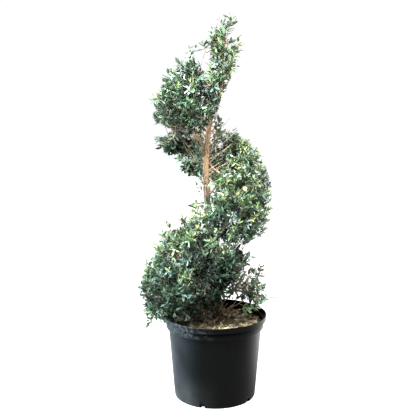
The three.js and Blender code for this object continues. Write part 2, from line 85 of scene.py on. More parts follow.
def spline(points: Array, shares: Array, power: float) -> Array:
    """Follow a Catmull-Rom curve through points.

    Args:
        points: the points it passes through, one a row.
        shares: where to read it, from 0 to 1, even in spans.
        power: 0 for the uniform curve, 0.5 for the centripetal one.

    Returns:
        One point for each share.
    """
    ends = np.vstack([2 * points[0] - points[1], points, 2 * points[-1] - points[-2]])
    spans = len(points) - 1
    at = np.clip(shares, 0, 1) * spans
    first = np.minimum(at.astype(int), spans - 1)
    w = (at - first)[:, None]
    p0, p1, p2, p3 = (ends[first + i] for i in range(4))
    d0, d1, d2 = (
        np.linalg.norm(b - a, axis=1, keepdims=True) ** power
        for a, b in ((p0, p1), (p1, p2), (p2, p3))
    )
    t1 = ((p1 - p0) / d0 - (p2 - p0) / (d0 + d1) + (p2 - p1) / d1) * d1
    t2 = ((p2 - p1) / d1 - (p3 - p1) / (d1 + d2) + (p3 - p2) / d2) * d1
    square, cube = 3 * (p2 - p1) - 2 * t1 - t2, 2 * (p1 - p2) + t1 + t2
    return p1 + t1 * w + square * w**2 + cube * w**3


def bezier(start: Array, bend: Array, end: Array, count: int) -> Array:
    """Sample a quadratic curve at evenly spaced shares."""
    t = np.linspace(0, 1, count)[:, None]
    return (1 - t) ** 2 * start + 2 * t * (1 - t) * bend + t**2 * end


def any_direction(random: Random) -> Array:
    """Draw a direction evenly from the sphere."""
    return unit(random.normal(size=3))


def waves(points: Array, scale: Sequence[float], seed: int, octaves: int = 3) -> Array:
    """Sum sine waves into a smooth repeatable noise of about -1 to 1.

    Args:
        points: where to read it, in millimetres.
        scale: the size of its features along each axis.
        seed: which noise it is.
        octaves: how many times finer waves are added.

    Returns:
        One value for each point.
    """
    random = np.random.default_rng(seed)
    total, weight, sum_of_weights = np.zeros(len(points)), 1.0, 0.0
    base = points / np.asarray(scale)
    for _ in range(octaves):
        for _ in range(4):
            heading = unit(random.normal(size=3)) * (0.7 + 0.6 * random.random())
            total += weight * np.sin(base @ heading * TURN + TURN * random.random())
        sum_of_weights += weight * 2
        base, weight = base * 2.03, weight * 0.55
    return total / sum_of_weights


# ---------------------------------------------------------------------------- meshes


@dataclass
class MeshPile:
    """Collects closed shells of one kind and joins them into one mesh."""

    vertices: list[Array] = field(default_factory=list)
    loops: list[Array] = field(default_factory=list)
    sizes: list[Array] = field(default_factory=list)
    slots: list[Array] = field(default_factory=list)
    count: int = 0

    def add(self, vertices: Array, faces: Iterable[Array], slots: Optional[Array] = None) -> None:
        """Add vertices in millimetres and their faces.

        Args:
            vertices: one point a row.
            faces: arrays of faces, each array holding faces with equally many corners.
            slots: the material slot of each face, in order, or None for slot 0.
        """
        groups = [np.asarray(group, int) for group in faces if len(group)]
        self.vertices.append(np.asarray(vertices, float))
        for group in groups:
            self.loops.append((group + self.count).ravel())
            self.sizes.append(np.full(len(group), group.shape[1]))
        total = sum(len(group) for group in groups)
        self.slots.append(np.zeros(total, int) if slots is None else np.asarray(slots, int))
        self.count += len(vertices)

    def make(
        self, name: str, materials: Sequence[Material], sharp: float = 50
    ) -> Piece:
        """Build the mesh object.

        Args:
            name: the piece's name.
            materials: its material slots.
            sharp: the angle between faces, in degrees, above which an edge is sharp.

        Returns:
            The new object.
        """
        mesh = bpy.data.meshes.new(name)
        vertices, loops = np.vstack(self.vertices) * MM, np.concatenate(self.loops)
        sizes = np.concatenate(self.sizes)
        mesh.vertices.add(len(vertices))
        mesh.vertices.foreach_set("co", vertices.astype(np.float32).ravel())
        mesh.loops.add(len(loops))
        mesh.loops.foreach_set("vertex_index", loops.astype(np.int32))
        mesh.polygons.add(len(sizes))
        starts = np.concatenate([[0], np.cumsum(sizes)[:-1]])
        mesh.polygons.foreach_set("loop_start", starts.astype(np.int32))
        for material in materials:
            mesh.materials.append(material)
        mesh.polygons.foreach_set("material_index", np.concatenate(self.slots).astype(np.int32))
        mesh.polygons.foreach_set("use_smooth", np.ones(len(sizes), bool))
        mesh.update(calc_edges=True)
        mesh.validate()
        mesh.set_sharp_from_angle(angle=math.radians(sharp))
        piece = bpy.data.objects.new(name, mesh)
        bpy.context.scene.collection.objects.link(piece)
        return piece


def grid_faces(rows: int, columns: int, start: int = 0) -> Array:
    """List the quads of a grid that closes round on itself along its columns.

    Args:
        rows: how many rows of vertices it has.
        columns: how many vertices a row holds.
        start: the index of its first vertex.

    Returns:
        The quads, one a row.
    """
    row, column = np.meshgrid(np.arange(rows - 1), np.arange(columns), indexing="ij")
    after = (column + 1) % columns
    corners = [row * columns + column, row * columns + after]
    corners += [corners[1] + columns, corners[0] + columns]
    return np.stack(corners, -1).reshape(-1, 4) + start


def capped_rings(rows: int, columns: int, inward: bool = False) -> list[Array]:
    """List the faces of stacked rings, closed at each end by a fan round a middle vertex.

    Args:
        rows: how many rings there are.
        columns: how many vertices each ring holds.
        inward: whether the faces are turned over.

    Returns:
        The quads and the fans' triangles. The two middles follow the rings' vertices.
    """
    around = np.arange(columns)
    after, last = (around + 1) % columns, (rows - 1) * columns
    first_middle, last_middle = (np.full(columns, rows * columns + k) for k in range(2))
    fans = np.vstack([
        np.stack([first_middle, after, around], -1),
        np.stack([last_middle, last + around, last + after], -1),
    ])
    quads = grid_faces(rows, columns)
    return [quads[:, ::-1], fans[:, [0, 2, 1]]] if inward else [quads, fans]


def frames_along(line: Array) -> tuple[Array, Array]:
    """Carry two directions square to a line along it without twisting them.

    Args:
        line: the line's points.

    Returns:
        The two unit directions at each point.
    """
    tangents = unit(np.gradient(line, axis=0))
    side = np.cross(tangents[0], [0.31, 0.17, 0.93])
    sides = []
    for tangent in tangents:
        side = unit(side - tangent * (side @ tangent))
        sides.append(side)
    sides = np.array(sides)
    return sides, np.cross(tangents, sides)


def tube(line: Array, radii: Array, sides: int) -> tuple[Array, list[Array]]:
    """Wrap a closed tube round a line.

    Args:
        line: the line's points.
        radii: the radius at each point, or one a side for each point.
        sides: how many sides it has.

    Returns:
        Its vertices, and its faces as quads and end caps.
    """
    across, beside = frames_along(line)
    angles = np.arange(sides) / sides * TURN
    cosines, sines = np.cos(angles)[None, :, None], np.sin(angles)[None, :, None]
    ring = cosines * across[:, None] + sines * beside[:, None]
    radii = np.broadcast_to(np.asarray(radii, float).reshape(len(line), -1), (len(line), sides))
    vertices = (line[:, None] + ring * radii[..., None]).reshape(-1, 3)
    last = (len(line) - 1) * sides
    caps = np.array([np.arange(sides)[::-1], last + np.arange(sides)])
    return vertices, [grid_faces(len(line), sides), caps]


# ---------------------------------------------------------------------------- the plant's rule


@dataclass(frozen=True)
class TrunkLine:
    """The trunk's line and taper, from its foot in the compost to its tip."""

    points: tuple = (
        (19, 50, 317), (15, 47, 430), (-14, 30, 660), (-35, 14, 900),
        (-37, 6, 1110), (-16, 0, 1270), (20, -6, 1460), (44, -8, 1572),
    )
    foot_radius: float = 16
    tip_radius: float = 3.2
    flare: float = 4
    flare_height: float = 32

    def stations(self, count: int) -> Array:
        """Return points evenly spread along the trunk's spans."""
        return spline(np.array(self.points, float), np.linspace(0, 1, count), 0.5)

    def at(self, heights: Array) -> Array:
        """Return the trunk's middle at each height, carried straight on above its tip.

        Args:
            heights: one height or several.

        Returns:
            One point for each height.
        """
        heights = np.atleast_1d(np.asarray(heights, float))
        line = self.stations(400)
        found = [np.interp(heights, line[:, 2], line[:, axis]) for axis in (0, 1)]
        lean = (line[-1] - line[-3]) / (line[-1, 2] - line[-3, 2])
        above = np.maximum(heights - line[-1, 2], 0)
        return np.stack([found[0] + lean[0] * above, found[1] + lean[1] * above, heights], -1)

    def radius(self, heights: Array) -> Array:
        """Return the trunk's radius at each height, root flare included.

        Args:
            heights: the heights.

        Returns:
            One radius for each height.
        """
        low, high = self.points[0][2], self.points[-1][2]
        share = np.clip((np.asarray(heights, float) - low) / (high - low), 0, 1)
        straight = self.foot_radius + (self.tip_radius - self.foot_radius) * share**2.6
        return straight + self.flare * np.exp(-share * (high - low) / self.flare_height)


@dataclass(frozen=True)
class Band:
    """The clipped band of foliage that winds up round the trunk, anticlockwise from above."""

    trunk: TrunkLine = TrunkLine()
    # At each quarter turn: the height of its middle, half its depth, and its reach.
    quarters: tuple = (
        (494, 118, 240), (545, 160, 262), (552, 232, 330), (666, 232, 262),
        (948, 194, 288), (1096, 142, 254), (1282, 216, 254), (1352, 134, 150),
        (1490, 96, 60), (1516, 84, 68), (1544, 80, 76), (1550, 74, 70),
    )
    skirt_flare: float = 0.3
    inner: float = 10
    roundness: float = 2.15
    # Clefts between the tufts: turn, height, slope with the turn, half widths and depth of each.
    clefts: tuple = (
        (1.50, 1190, 60, 0.13, 20, 0.75), (1.62, 1440, 0, 0.05, 30, 0.25),
        (1.86, 1306, 1400, 0.09, 78, 1.5),
        (1.665, 1500, 0, 0.08, 66, 1.0), (2.52, 1456, 0, 0.13, 28, 0.5), (1.45, 1022, 0, 0.09, 44, 0.6),
        (2.12, 1396, 0, 0.16, 50, 0.8), (0.945, 700, 0, 0.035, 32, 0.45), (1.20, 1236, 0, 0.12, 44, 0.7),
        (0.80, 440, 0, 0.10, 72, 0.9), (0.91, 640, 0, 0.05, 44, 0.3), (1.60, 905, 0, 0.12, 30, 0.8),
        (0.90, 705, 0, 0.07, 34, 0.50), (1.235, 1150, 0, 0.03, 42, 0.9), (1.04, 1120, 0, 0.10, 36, 0.12),
        (0.00, 450, 0, 0.13, 90, 0.26), (0.50, 435, 0, 0.12, 44, 0.09), (1.50, 1236, 0, 0.08, 24, 0.07),
        (1.50, 1286, 0, 0.06, 14, 0.12), (0.50, 655, 0, 0.11, 50, 0.16), (0.55, 770, 0, 0.12, 40, 0.14),
        (0.52, 320, 0, 0.14, 34, 0.3), (1.00, 1015, 0, 0.08, 60, 0.11),
    )

    def section(self, turns: Array) -> Array:
        """Return the middle height, half depth and reach at each turn."""
        share = np.asarray(turns, float) * 4 / (len(self.quarters) - 1)
        return spline(np.array(self.quarters, float), np.atleast_1d(share), 0)

    def reach_at(self, section: Array, up: Array) -> Array:
        """Return how far a section reaches at a level from -1, its foot, to 1, its top."""
        skirt = smooth_step(-section[:, 0], -760, -580)
        return section[:, 2] * (1 - self.skirt_flare * up * skirt)

    def point(self, section: Array, turns: Array, across: Array, up: Array) -> Array:
        """Place a point of the band.

        Args:
            section: the sections at the turns.
            turns: the turns.
            across: from -1, by the trunk, to 1, the outside.
            up: from -1, the foot, to 1, the top.

        Returns:
            One point for each turn.
        """
        height = section[:, 0] + up * section[:, 1]
        radius = self.inner + (across + 1) / 2 * (self.reach_at(section, up) - self.inner)
        angle = turns * TURN
        place = self.trunk.at(height)
        place[:, 0] += radius * np.cos(angle)
        place[:, 1] += radius * np.sin(angle)
        return place

    def depth(self, section: Array, points: Array) -> Array:
        """Return where points lie in a section, from 0 in its middle to 1 on its outline.

        Args:
            section: the section at each point.
            points: the points.

        Returns:
            One depth for each point.
        """
        axis = self.trunk.at(points[:, 2])
        radius = np.hypot(points[:, 0] - axis[:, 0], points[:, 1] - axis[:, 1])
        up = (points[:, 2] - section[:, 0]) / section[:, 1]
        across = 2 * (radius - self.inner) / (self.reach_at(section, up) - self.inner) - 1
        power = self.roundness
        return (np.abs(across) ** power + np.abs(up) ** power) ** (1 / power)

    def cleft(self, turns: Array, heights: Array) -> Array:
        """Return how much of the depth the clefts take away at turns and heights.

        Args:
            turns: the turns.
            heights: a height for each turn.

        Returns:
            One share for each turn.
        """
        taken = np.zeros(len(turns))
        for turn, height, slope, half_turn, half_height, depth in self.clefts:
            along = (turns - turn) / half_turn
            above = (heights - height - slope * (turns - turn)) / half_height
            taken += depth * np.exp(-(along**2) - above**2)
        return taken

    def turn_of(self, points: Array, near: float) -> Array:
        """Return the turn at which points lie round the trunk, nearest to a given turn.

        Args:
            points: the points.
            near: the given turn.

        Returns:
            One turn for each point.
        """
        axis = self.trunk.at(points[:, 2])
        turns = np.arctan2(points[:, 1] - axis[:, 1], points[:, 0] - axis[:, 0]) / TURN
        return turns + np.round(near - turns)


class Habit(Enum):
    """How full a mass of foliage is."""

    FULL = "full"
    FINE = "fine"
    OPEN = "open"
    SPARSE = "sparse"


@dataclass(frozen=True)
class Mass:
    """One mass of the band, or one loose sprig in its groove, and how it is filled."""

    name: str
    low: float
    high: float
    habit: Habit
    seed: int
    # Shifts the tones dealt towards paler or darker ones: partly the leaves' own tone, partly painted light
    # and shade.
    pale: float = 0.0
    own_section: Optional[tuple[float, float, float]] = None

    @property
    def turn(self) -> float:
        """The turn of its middle."""
        return (self.low + self.high) / 2

    def sections(self, band: Band, turns: Array) -> Array:
        """Return its section at each turn.

        Args:
            band: the band that it belongs to.
            turns: the turns.

        Returns:
            One row of middle height, half depth and reach for each turn.
        """
        if self.own_section is None:
            return band.section(turns)
        return np.tile(np.array(self.own_section, float), (len(np.atleast_1d(turns)), 1))

    def point(self, band: Band, turn: float, across: float, up: float) -> Array:
        """Place one point of the mass."""
        turns = np.array([turn])
        return band.point(self.sections(band, turns), turns, np.array([across]), np.array([up]))[0]


def all_masses() -> list[Mass]:
    """List the masses along the band from its low end, then the loose sprigs.

    Returns:
        The masses.
    """
    full, fine, open_, sparse = Habit.FULL, Habit.FINE, Habit.OPEN, Habit.SPARSE
    # Each mass: where it begins and ends, how full it is and how pale its leaves are, which is partly their
    # own tone and partly painted light and shade on the whole mass.
    along = (
        ("skirt_right", -0.08, 0.10, sparse, 0.4), ("skirt_back_right", 0.10, 0.26, sparse, 0.4),
        ("skirt_back_left", 0.26, 0.41, full, -0.10), ("skirt_left", 0.41, 0.57, full, -0.04),
        ("skirt_front_left", 0.57, 0.69, full, -0.08), ("skirt_front", 0.69, 0.87, full, -0.16),
        ("coil_right", 0.87, 1.03, fine, 0.40), ("coil_back_right", 1.03, 1.19, fine, 0.34),
        ("coil_back_left", 1.19, 1.35, full, -0.08), ("coil_left", 1.35, 1.51, full, -0.06),
        ("crown_front_left", 1.51, 1.68, full, 0.06), ("crown_front", 1.68, 1.86, full, 0.08),
        ("crown_right", 1.86, 2.12, open_, 0.75), ("crown_back", 2.12, 2.40, open_, 0.6),
        ("crown_left", 2.40, 2.72, open_, 0.8),
    )
    sprigs = (
        ("sprig_left", 1.49, 1.62, (1034, 42, 132)),
        ("sprig_right", 0.96, 1.09, (1212, 46, 70)),
        ("sprig_low", 1.58, 1.72, (876, 52, 100)),
    )
    masses = [Mass(*parts[:4], 101 + 17 * i, parts[4]) for i, parts in enumerate(along)]
    for i, (name, low, high, section) in enumerate(sprigs):
        masses.append(Mass(name, low, high, sparse, 701 + 17 * i, 0.1, section))
    return masses


@dataclass
class Limb:
    """A bough, twig or shoot: its line and its radius at each end."""

    line: Array
    root: float
    tip: float

    @property
    def heading(self) -> Array:
        """The way it points at its tip."""
        return unit(self.line[-1] - self.line[-2])

    @property
    def length(self) -> float:
        """Its length."""
        return float(np.linalg.norm(np.diff(self.line, axis=0), axis=1).sum())

    def radii(self) -> Array:
        """Its radius at each point of its line."""
        return np.linspace(self.root, self.tip, len(self.line))


@dataclass(frozen=True)
class BoughRule:
    """How boughs spring from the trunk and where they enter their masses."""

    band: Band
    soil_top: float
    root: float = 5.6
    tip: float = 3.4
    slim_root: float = 3.8
    slim_tip: float = 2.6
    samples: int = 28
    grooves: tuple = (
        ("coil_left", 1.47, 1040, 0.35), ("coil_back_left", 1.33, 1150, 0.8),
        ("coil_right", 0.99, 1010, 0.6), ("coil_back_right", 1.09, 1030, 0.4),
        ("coil_left", 1.40, 1090, 0.2), ("coil_back_left", 1.25, 1075, 0.6),
        ("coil_right", 0.94, 1060, 1.0), ("crown_front_left", 1.57, 1085, 0.1),
    )

    def line(self, spring_height: float, end: Array) -> Array:
        """Run out from the trunk at a height, then up to an end.

        Args:
            spring_height: the height at which it leaves the trunk.
            end: where it ends.

        Returns:
            Its points.
        """
        start = self.band.trunk.at(np.array([spring_height]))[0]
        bend = (start + end) / 2 - UP * 0.12 * np.linalg.norm(end - start)
        return bezier(start, bend, end, self.samples)

    def main(self, mass: Mass) -> Limb:
        """Return the main bough of a mass, which ends where its stem begins.

        Args:
            mass: the mass.

        Returns:
            The bough.
        """
        slim = mass.habit is Habit.SPARSE and mass.own_section is not None
        reach = mass.sections(self.band, np.array([mass.turn]))[0, 2]
        slim = slim or mass.name == "skirt_right" or reach < 200
        end = mass.point(self.band, mass.turn, -0.52, -0.3)
        axis = self.band.trunk.at(end[2:3])[0]
        spring = max(self.soil_top + 24, end[2] - 0.95 * math.hypot(*(end - axis)[:2]))
        root, tip = (self.slim_root, self.slim_tip) if slim else (self.root, self.tip)
        return Limb(self.line(spring, end), root, tip)

    def across_groove(self, masses: Sequence[Mass]) -> list[Limb]:
        """Return the bare boughs that cross the open groove.

        Args:
            masses: every mass.

        Returns:
            The boughs.
        """
        named = {mass.name: mass for mass in masses}
        limbs = []
        for name, turn, spring, up in self.grooves:
            end = named[name].point(self.band, turn, -0.35, up - 0.5)
            limbs.append(Limb(self.line(spring, end), self.slim_root, self.slim_tip))
        return limbs


# ---------------------------------------------------------------------------- leaves


class Tone(IntEnum):
    """The tones that leaves are dealt out in, spray by spray."""

    # A near-black tone that paints the deepest shade inside the foliage.
    DEEP = 0
    DARK = 1
    MID = 2
    BLUE = 3
    OLIVE = 4
    FRESH = 5
    LIME = 6
    # A pale bluish-white tone that paints the glint of light on glossy leaves.
    SILVER = 7
    OLD = 8


def tones_of(words: str) -> tuple[Tone, ...]:
    """Return the tones that words name."""
    return tuple(Tone[word.upper()] for word in words.split())


@dataclass(frozen=True)
class LeafShape:
    """A narrow elliptic leaf: two blades folded along a midrib, in a thin closed shell."""

    stations: tuple = (0.30, 0.68)
    widths: tuple = (0.94, 0.88)
    fold: float = 0.16
    thickness: float = 0.35

    def faces(self) -> tuple[Array, Array]:
        """Return the triangles and quads of one leaf, its upper face before its lower face.

        Returns:
            The triangles, then the quads, each one a row.
        """
        count = len(self.stations)
        root, tip, left, right = 0, 1, 2, 2 + count
        over, under, last = right + count, right + 2 * count, count - 1
        triangles, quads = [], []
        for rib, flip in ((over, False), (under, True)):
            blade = [(root, right, rib), (root, rib, left)]
            blade += [(right + last, tip, rib + last), (rib + last, tip, left + last)]
            four = [(rib + i, right + i, right + i + 1, rib + i + 1) for i in range(last)]
            four += [(left + i, rib + i, rib + i + 1, left + i + 1) for i in range(last)]
            triangles += [face[::-1] if flip else face for face in blade]
            quads += [face[::-1] if flip else face for face in four]
        return np.array(triangles), np.array(quads)

    def place(self, roots: Array, along: Array, normals: Array, sizes: Array) -> Array:
        """Place many leaves at once.

        Args:
            roots: where each begins.
            along: the way each points.
            normals: the way its upper face looks.
            sizes: its length, its width as a share of it, and how far its tip drops as a share of it.

        Returns:
            Vertices of shape (leaves, corners, 3).
        """
        along = unit(along)
        across = unit(np.cross(along, normals))
        face = np.cross(across, along)
        lengths, ratios, curls = sizes.T
        steps = len(self.stations)
        vertices = np.zeros((len(roots), 2 + 4 * steps, 3))

        def put(index: int, share: float, side: float, lift: Array) -> None:
            """Set one vertex of every leaf.

            Args:
                index: which vertex it is.
                share: how far along the leaf it lies.
                side: how far across, from -1 to 1.
                lift: how far above the blade, for each leaf.
            """
            drop = -curls * lengths * share**2
            vertices[:, index] = (
                roots
                + along * (lengths * share)[:, None]
                + across * (lengths * ratios * 0.5 * side)[:, None]
                + face * (drop + lift)[:, None]
            )

        none = np.zeros(len(roots))
        put(0, 0.0, 0.0, none)
        put(1, 1.0, 0.0, none)
        for i, (share, width) in enumerate(zip(self.stations, self.widths)):
            dip = -self.fold * lengths * ratios * width
            put(2 + i, share, -width, none)
            put(2 + steps + i, share, width, none)
            put(2 + 2 * steps + i, share, 0.0, dip + self.thickness / 2)
            put(2 + 3 * steps + i, share, 0.0, dip - self.thickness / 2)
        return vertices


@dataclass
class LeafCrop:
    """All the leaves that the plant bears, in batches, before they are built."""

    batches: list[dict[str, Array]] = field(default_factory=list)

    def grow(self, **batch: Array) -> None:
        """Add a batch: each leaf's root, the way it points and faces, its size and its tone."""
        self.batches.append(batch)

    def gathered(self, first: int = 0) -> dict[str, Array]:
        """Join the batches from one on."""
        chosen = self.batches[first:]
        return {key: np.concatenate([batch[key] for batch in chosen]) for key in chosen[0]}

    def __len__(self) -> int:
        """How many leaves there are."""
        return sum(len(batch["tones"]) for batch in self.batches)


@dataclass(frozen=True)
class SprayRule:
    """How a leafy shoot is set with opposite pairs of leaves and side shoots."""

    leafy: float = 88
    pair_gap: float = 10
    leaf_length: float = 31
    young_length: float = 20
    ratio: float = 0.38
    bare_chance: float = 0.07
    old_chance: float = 0.004
    side_shoots: int = 2
    side_length: float = 46
    side_angle: float = 0.75

    def pairs(
        self, limb: Limb, leafy: float, tones: tuple[Tone, Tone], crop: LeafCrop,
        random: Random,
    ) -> None:
        """Set crossed pairs of leaves on the last stretch of a shoot.

        Args:
            limb: the shoot.
            leafy: the length of the stretch.
            tones: the tone of its leaves and of its youngest leaves.
            crop: where the leaves are gathered.
            random: the stream of draws.
        """
        lengths = np.concatenate([[0], np.cumsum(np.linalg.norm(np.diff(limb.line, axis=0), axis=1))])
        total = lengths[-1]
        stretch = min(leafy, total * 0.92)
        pairs = max(3, int(stretch / self.pair_gap) + 1)
        share = np.linspace(0, 1, pairs)
        spots = total - stretch * (1 - share)

        def read(at: Array) -> Array:
            """Return the shoot's points at lengths along it."""
            return np.stack([np.interp(at, lengths, limb.line[:, axis]) for axis in range(3)], -1)

        axis = unit(read(np.minimum(spots + 4, total)) - read(spots - 4))
        beside = unit(np.cross(axis, [0.37, 0.21, 0.9]))
        over = np.cross(axis, beside)
        spin = TURN * random.random() + np.cumsum(TURN / 4 + random.normal(size=pairs) * 0.22)
        both = np.repeat(np.arange(pairs), 2)[random.random(2 * pairs) > self.bare_chance]
        count = len(both)
        angle = (spin[both] + math.pi * (np.arange(count) % 2))[:, None]
        tilt = (mix(1.05, 0.45, share[both]) + random.normal(size=count) * 0.16)[:, None]
        away = np.cos(angle) * beside[both] + np.sin(angle) * over[both]
        along = np.cos(tilt) * axis[both] + np.sin(tilt) * away
        along = unit(along + unit(random.normal(size=(count, 3))) * 0.16)
        face = axis[both] * 0.9 + UP * 0.75 + unit(random.normal(size=(count, 3))) * 0.45
        length = mix(self.leaf_length, self.young_length, smooth_step(share[both], 0.5, 1.0))
        dealt = np.where(share[both] > 0.7, int(tones[1]), int(tones[0]))
        crop.grow(
            roots=read(spots)[both],
            along=along,
            normals=face - along * np.sum(face * along, axis=1, keepdims=True),
            sizes=np.stack([
                length * (0.8 + 0.4 * random.random(count)),
                self.ratio * (0.85 + 0.3 * random.random(count)),
                0.02 + 0.2 * random.random(count),
            ], -1),
            tones=np.where(random.random(count) < self.old_chance, int(Tone.OLD), dealt),
        )

    def shoot(
        self, root: Array, tip: Array, heading: Array, radius: float, bow: float, random: Random,
    ) -> Limb:
        """Run a slightly bowed shoot from a root to a tip, which it reaches along a heading.

        Args:
            root: where it starts.
            tip: where it ends.
            heading: the way it points at its tip.
            radius: its radius at its root.
            bow: how far it may bow, as a share of its span.
            random: the stream of draws.

        Returns:
            The shoot.
        """
        span = np.linalg.norm(tip - root)
        bend = tip - heading * span * 0.45 + any_direction(random) * bow * span
        return Limb(bezier(root, bend, tip, 8), radius, 0.7)

    def spray(
        self, limb: Limb, leafy: float, tones: tuple[Tone, Tone], crop: LeafCrop, shoots: list[Limb],
        random: Random,
    ) -> None:
        """Dress a shoot with leaves and leafy side shoots.

        Args:
            limb: the shoot.
            leafy: the length of its leafy stretch.
            tones: the tone of its leaves and of its youngest leaves.
            crop: where the leaves are gathered.
            shoots: where the side shoots are gathered.
            random: the stream of draws.
        """
        self.pairs(limb, leafy, tones, crop, random)
        spin = TURN * random.random()
        for k in range(self.side_shoots):
            share = 0.42 + 0.36 * k / max(1, self.side_shoots - 1) + 0.08 * random.random()
            i = min(len(limb.line) - 2, int(share * (len(limb.line) - 1)))
            at, axis = limb.line[i], unit(limb.line[i + 1] - limb.line[i])
            beside = unit(np.cross(axis, [0.37, 0.21, 0.9]))
            over = np.cross(axis, beside)
            spin += 2.4
            away = math.cos(spin) * beside + math.sin(spin) * over
            heading = unit(math.cos(self.side_angle) * axis + math.sin(self.side_angle) * away)
            length = self.side_length * (0.75 + 0.5 * random.random())
            end = at + heading * length + UP * 0.12 * length
            side = Limb(bezier(at, at + heading * length * 0.55, end, 5), 1.1, 0.6)
            shoots.append(side)
            self.pairs(side, length * 0.9, tones, crop, random)


@dataclass(frozen=True)
class Growth:
    """How a habit is grown: its sprays for each square decimetre of outline, and their rule."""

    density: float
    spray: SprayRule
    tufts: float


GROWTH = {
    Habit.FULL: Growth(5.4, SprayRule(pair_gap=8.4, leaf_length=31, young_length=20, ratio=0.29), 6),
    Habit.FINE: Growth(6.8, SprayRule(pair_gap=6.6, leaf_length=24, young_length=16, ratio=0.33), 5),
    Habit.OPEN: Growth(2.0, SprayRule(pair_gap=10.5, leaf_length=33, young_length=22, ratio=0.35), 6),
    Habit.SPARSE: Growth(1.5, SprayRule(pair_gap=11, leaf_length=33, young_length=21, ratio=0.35), 6),
}


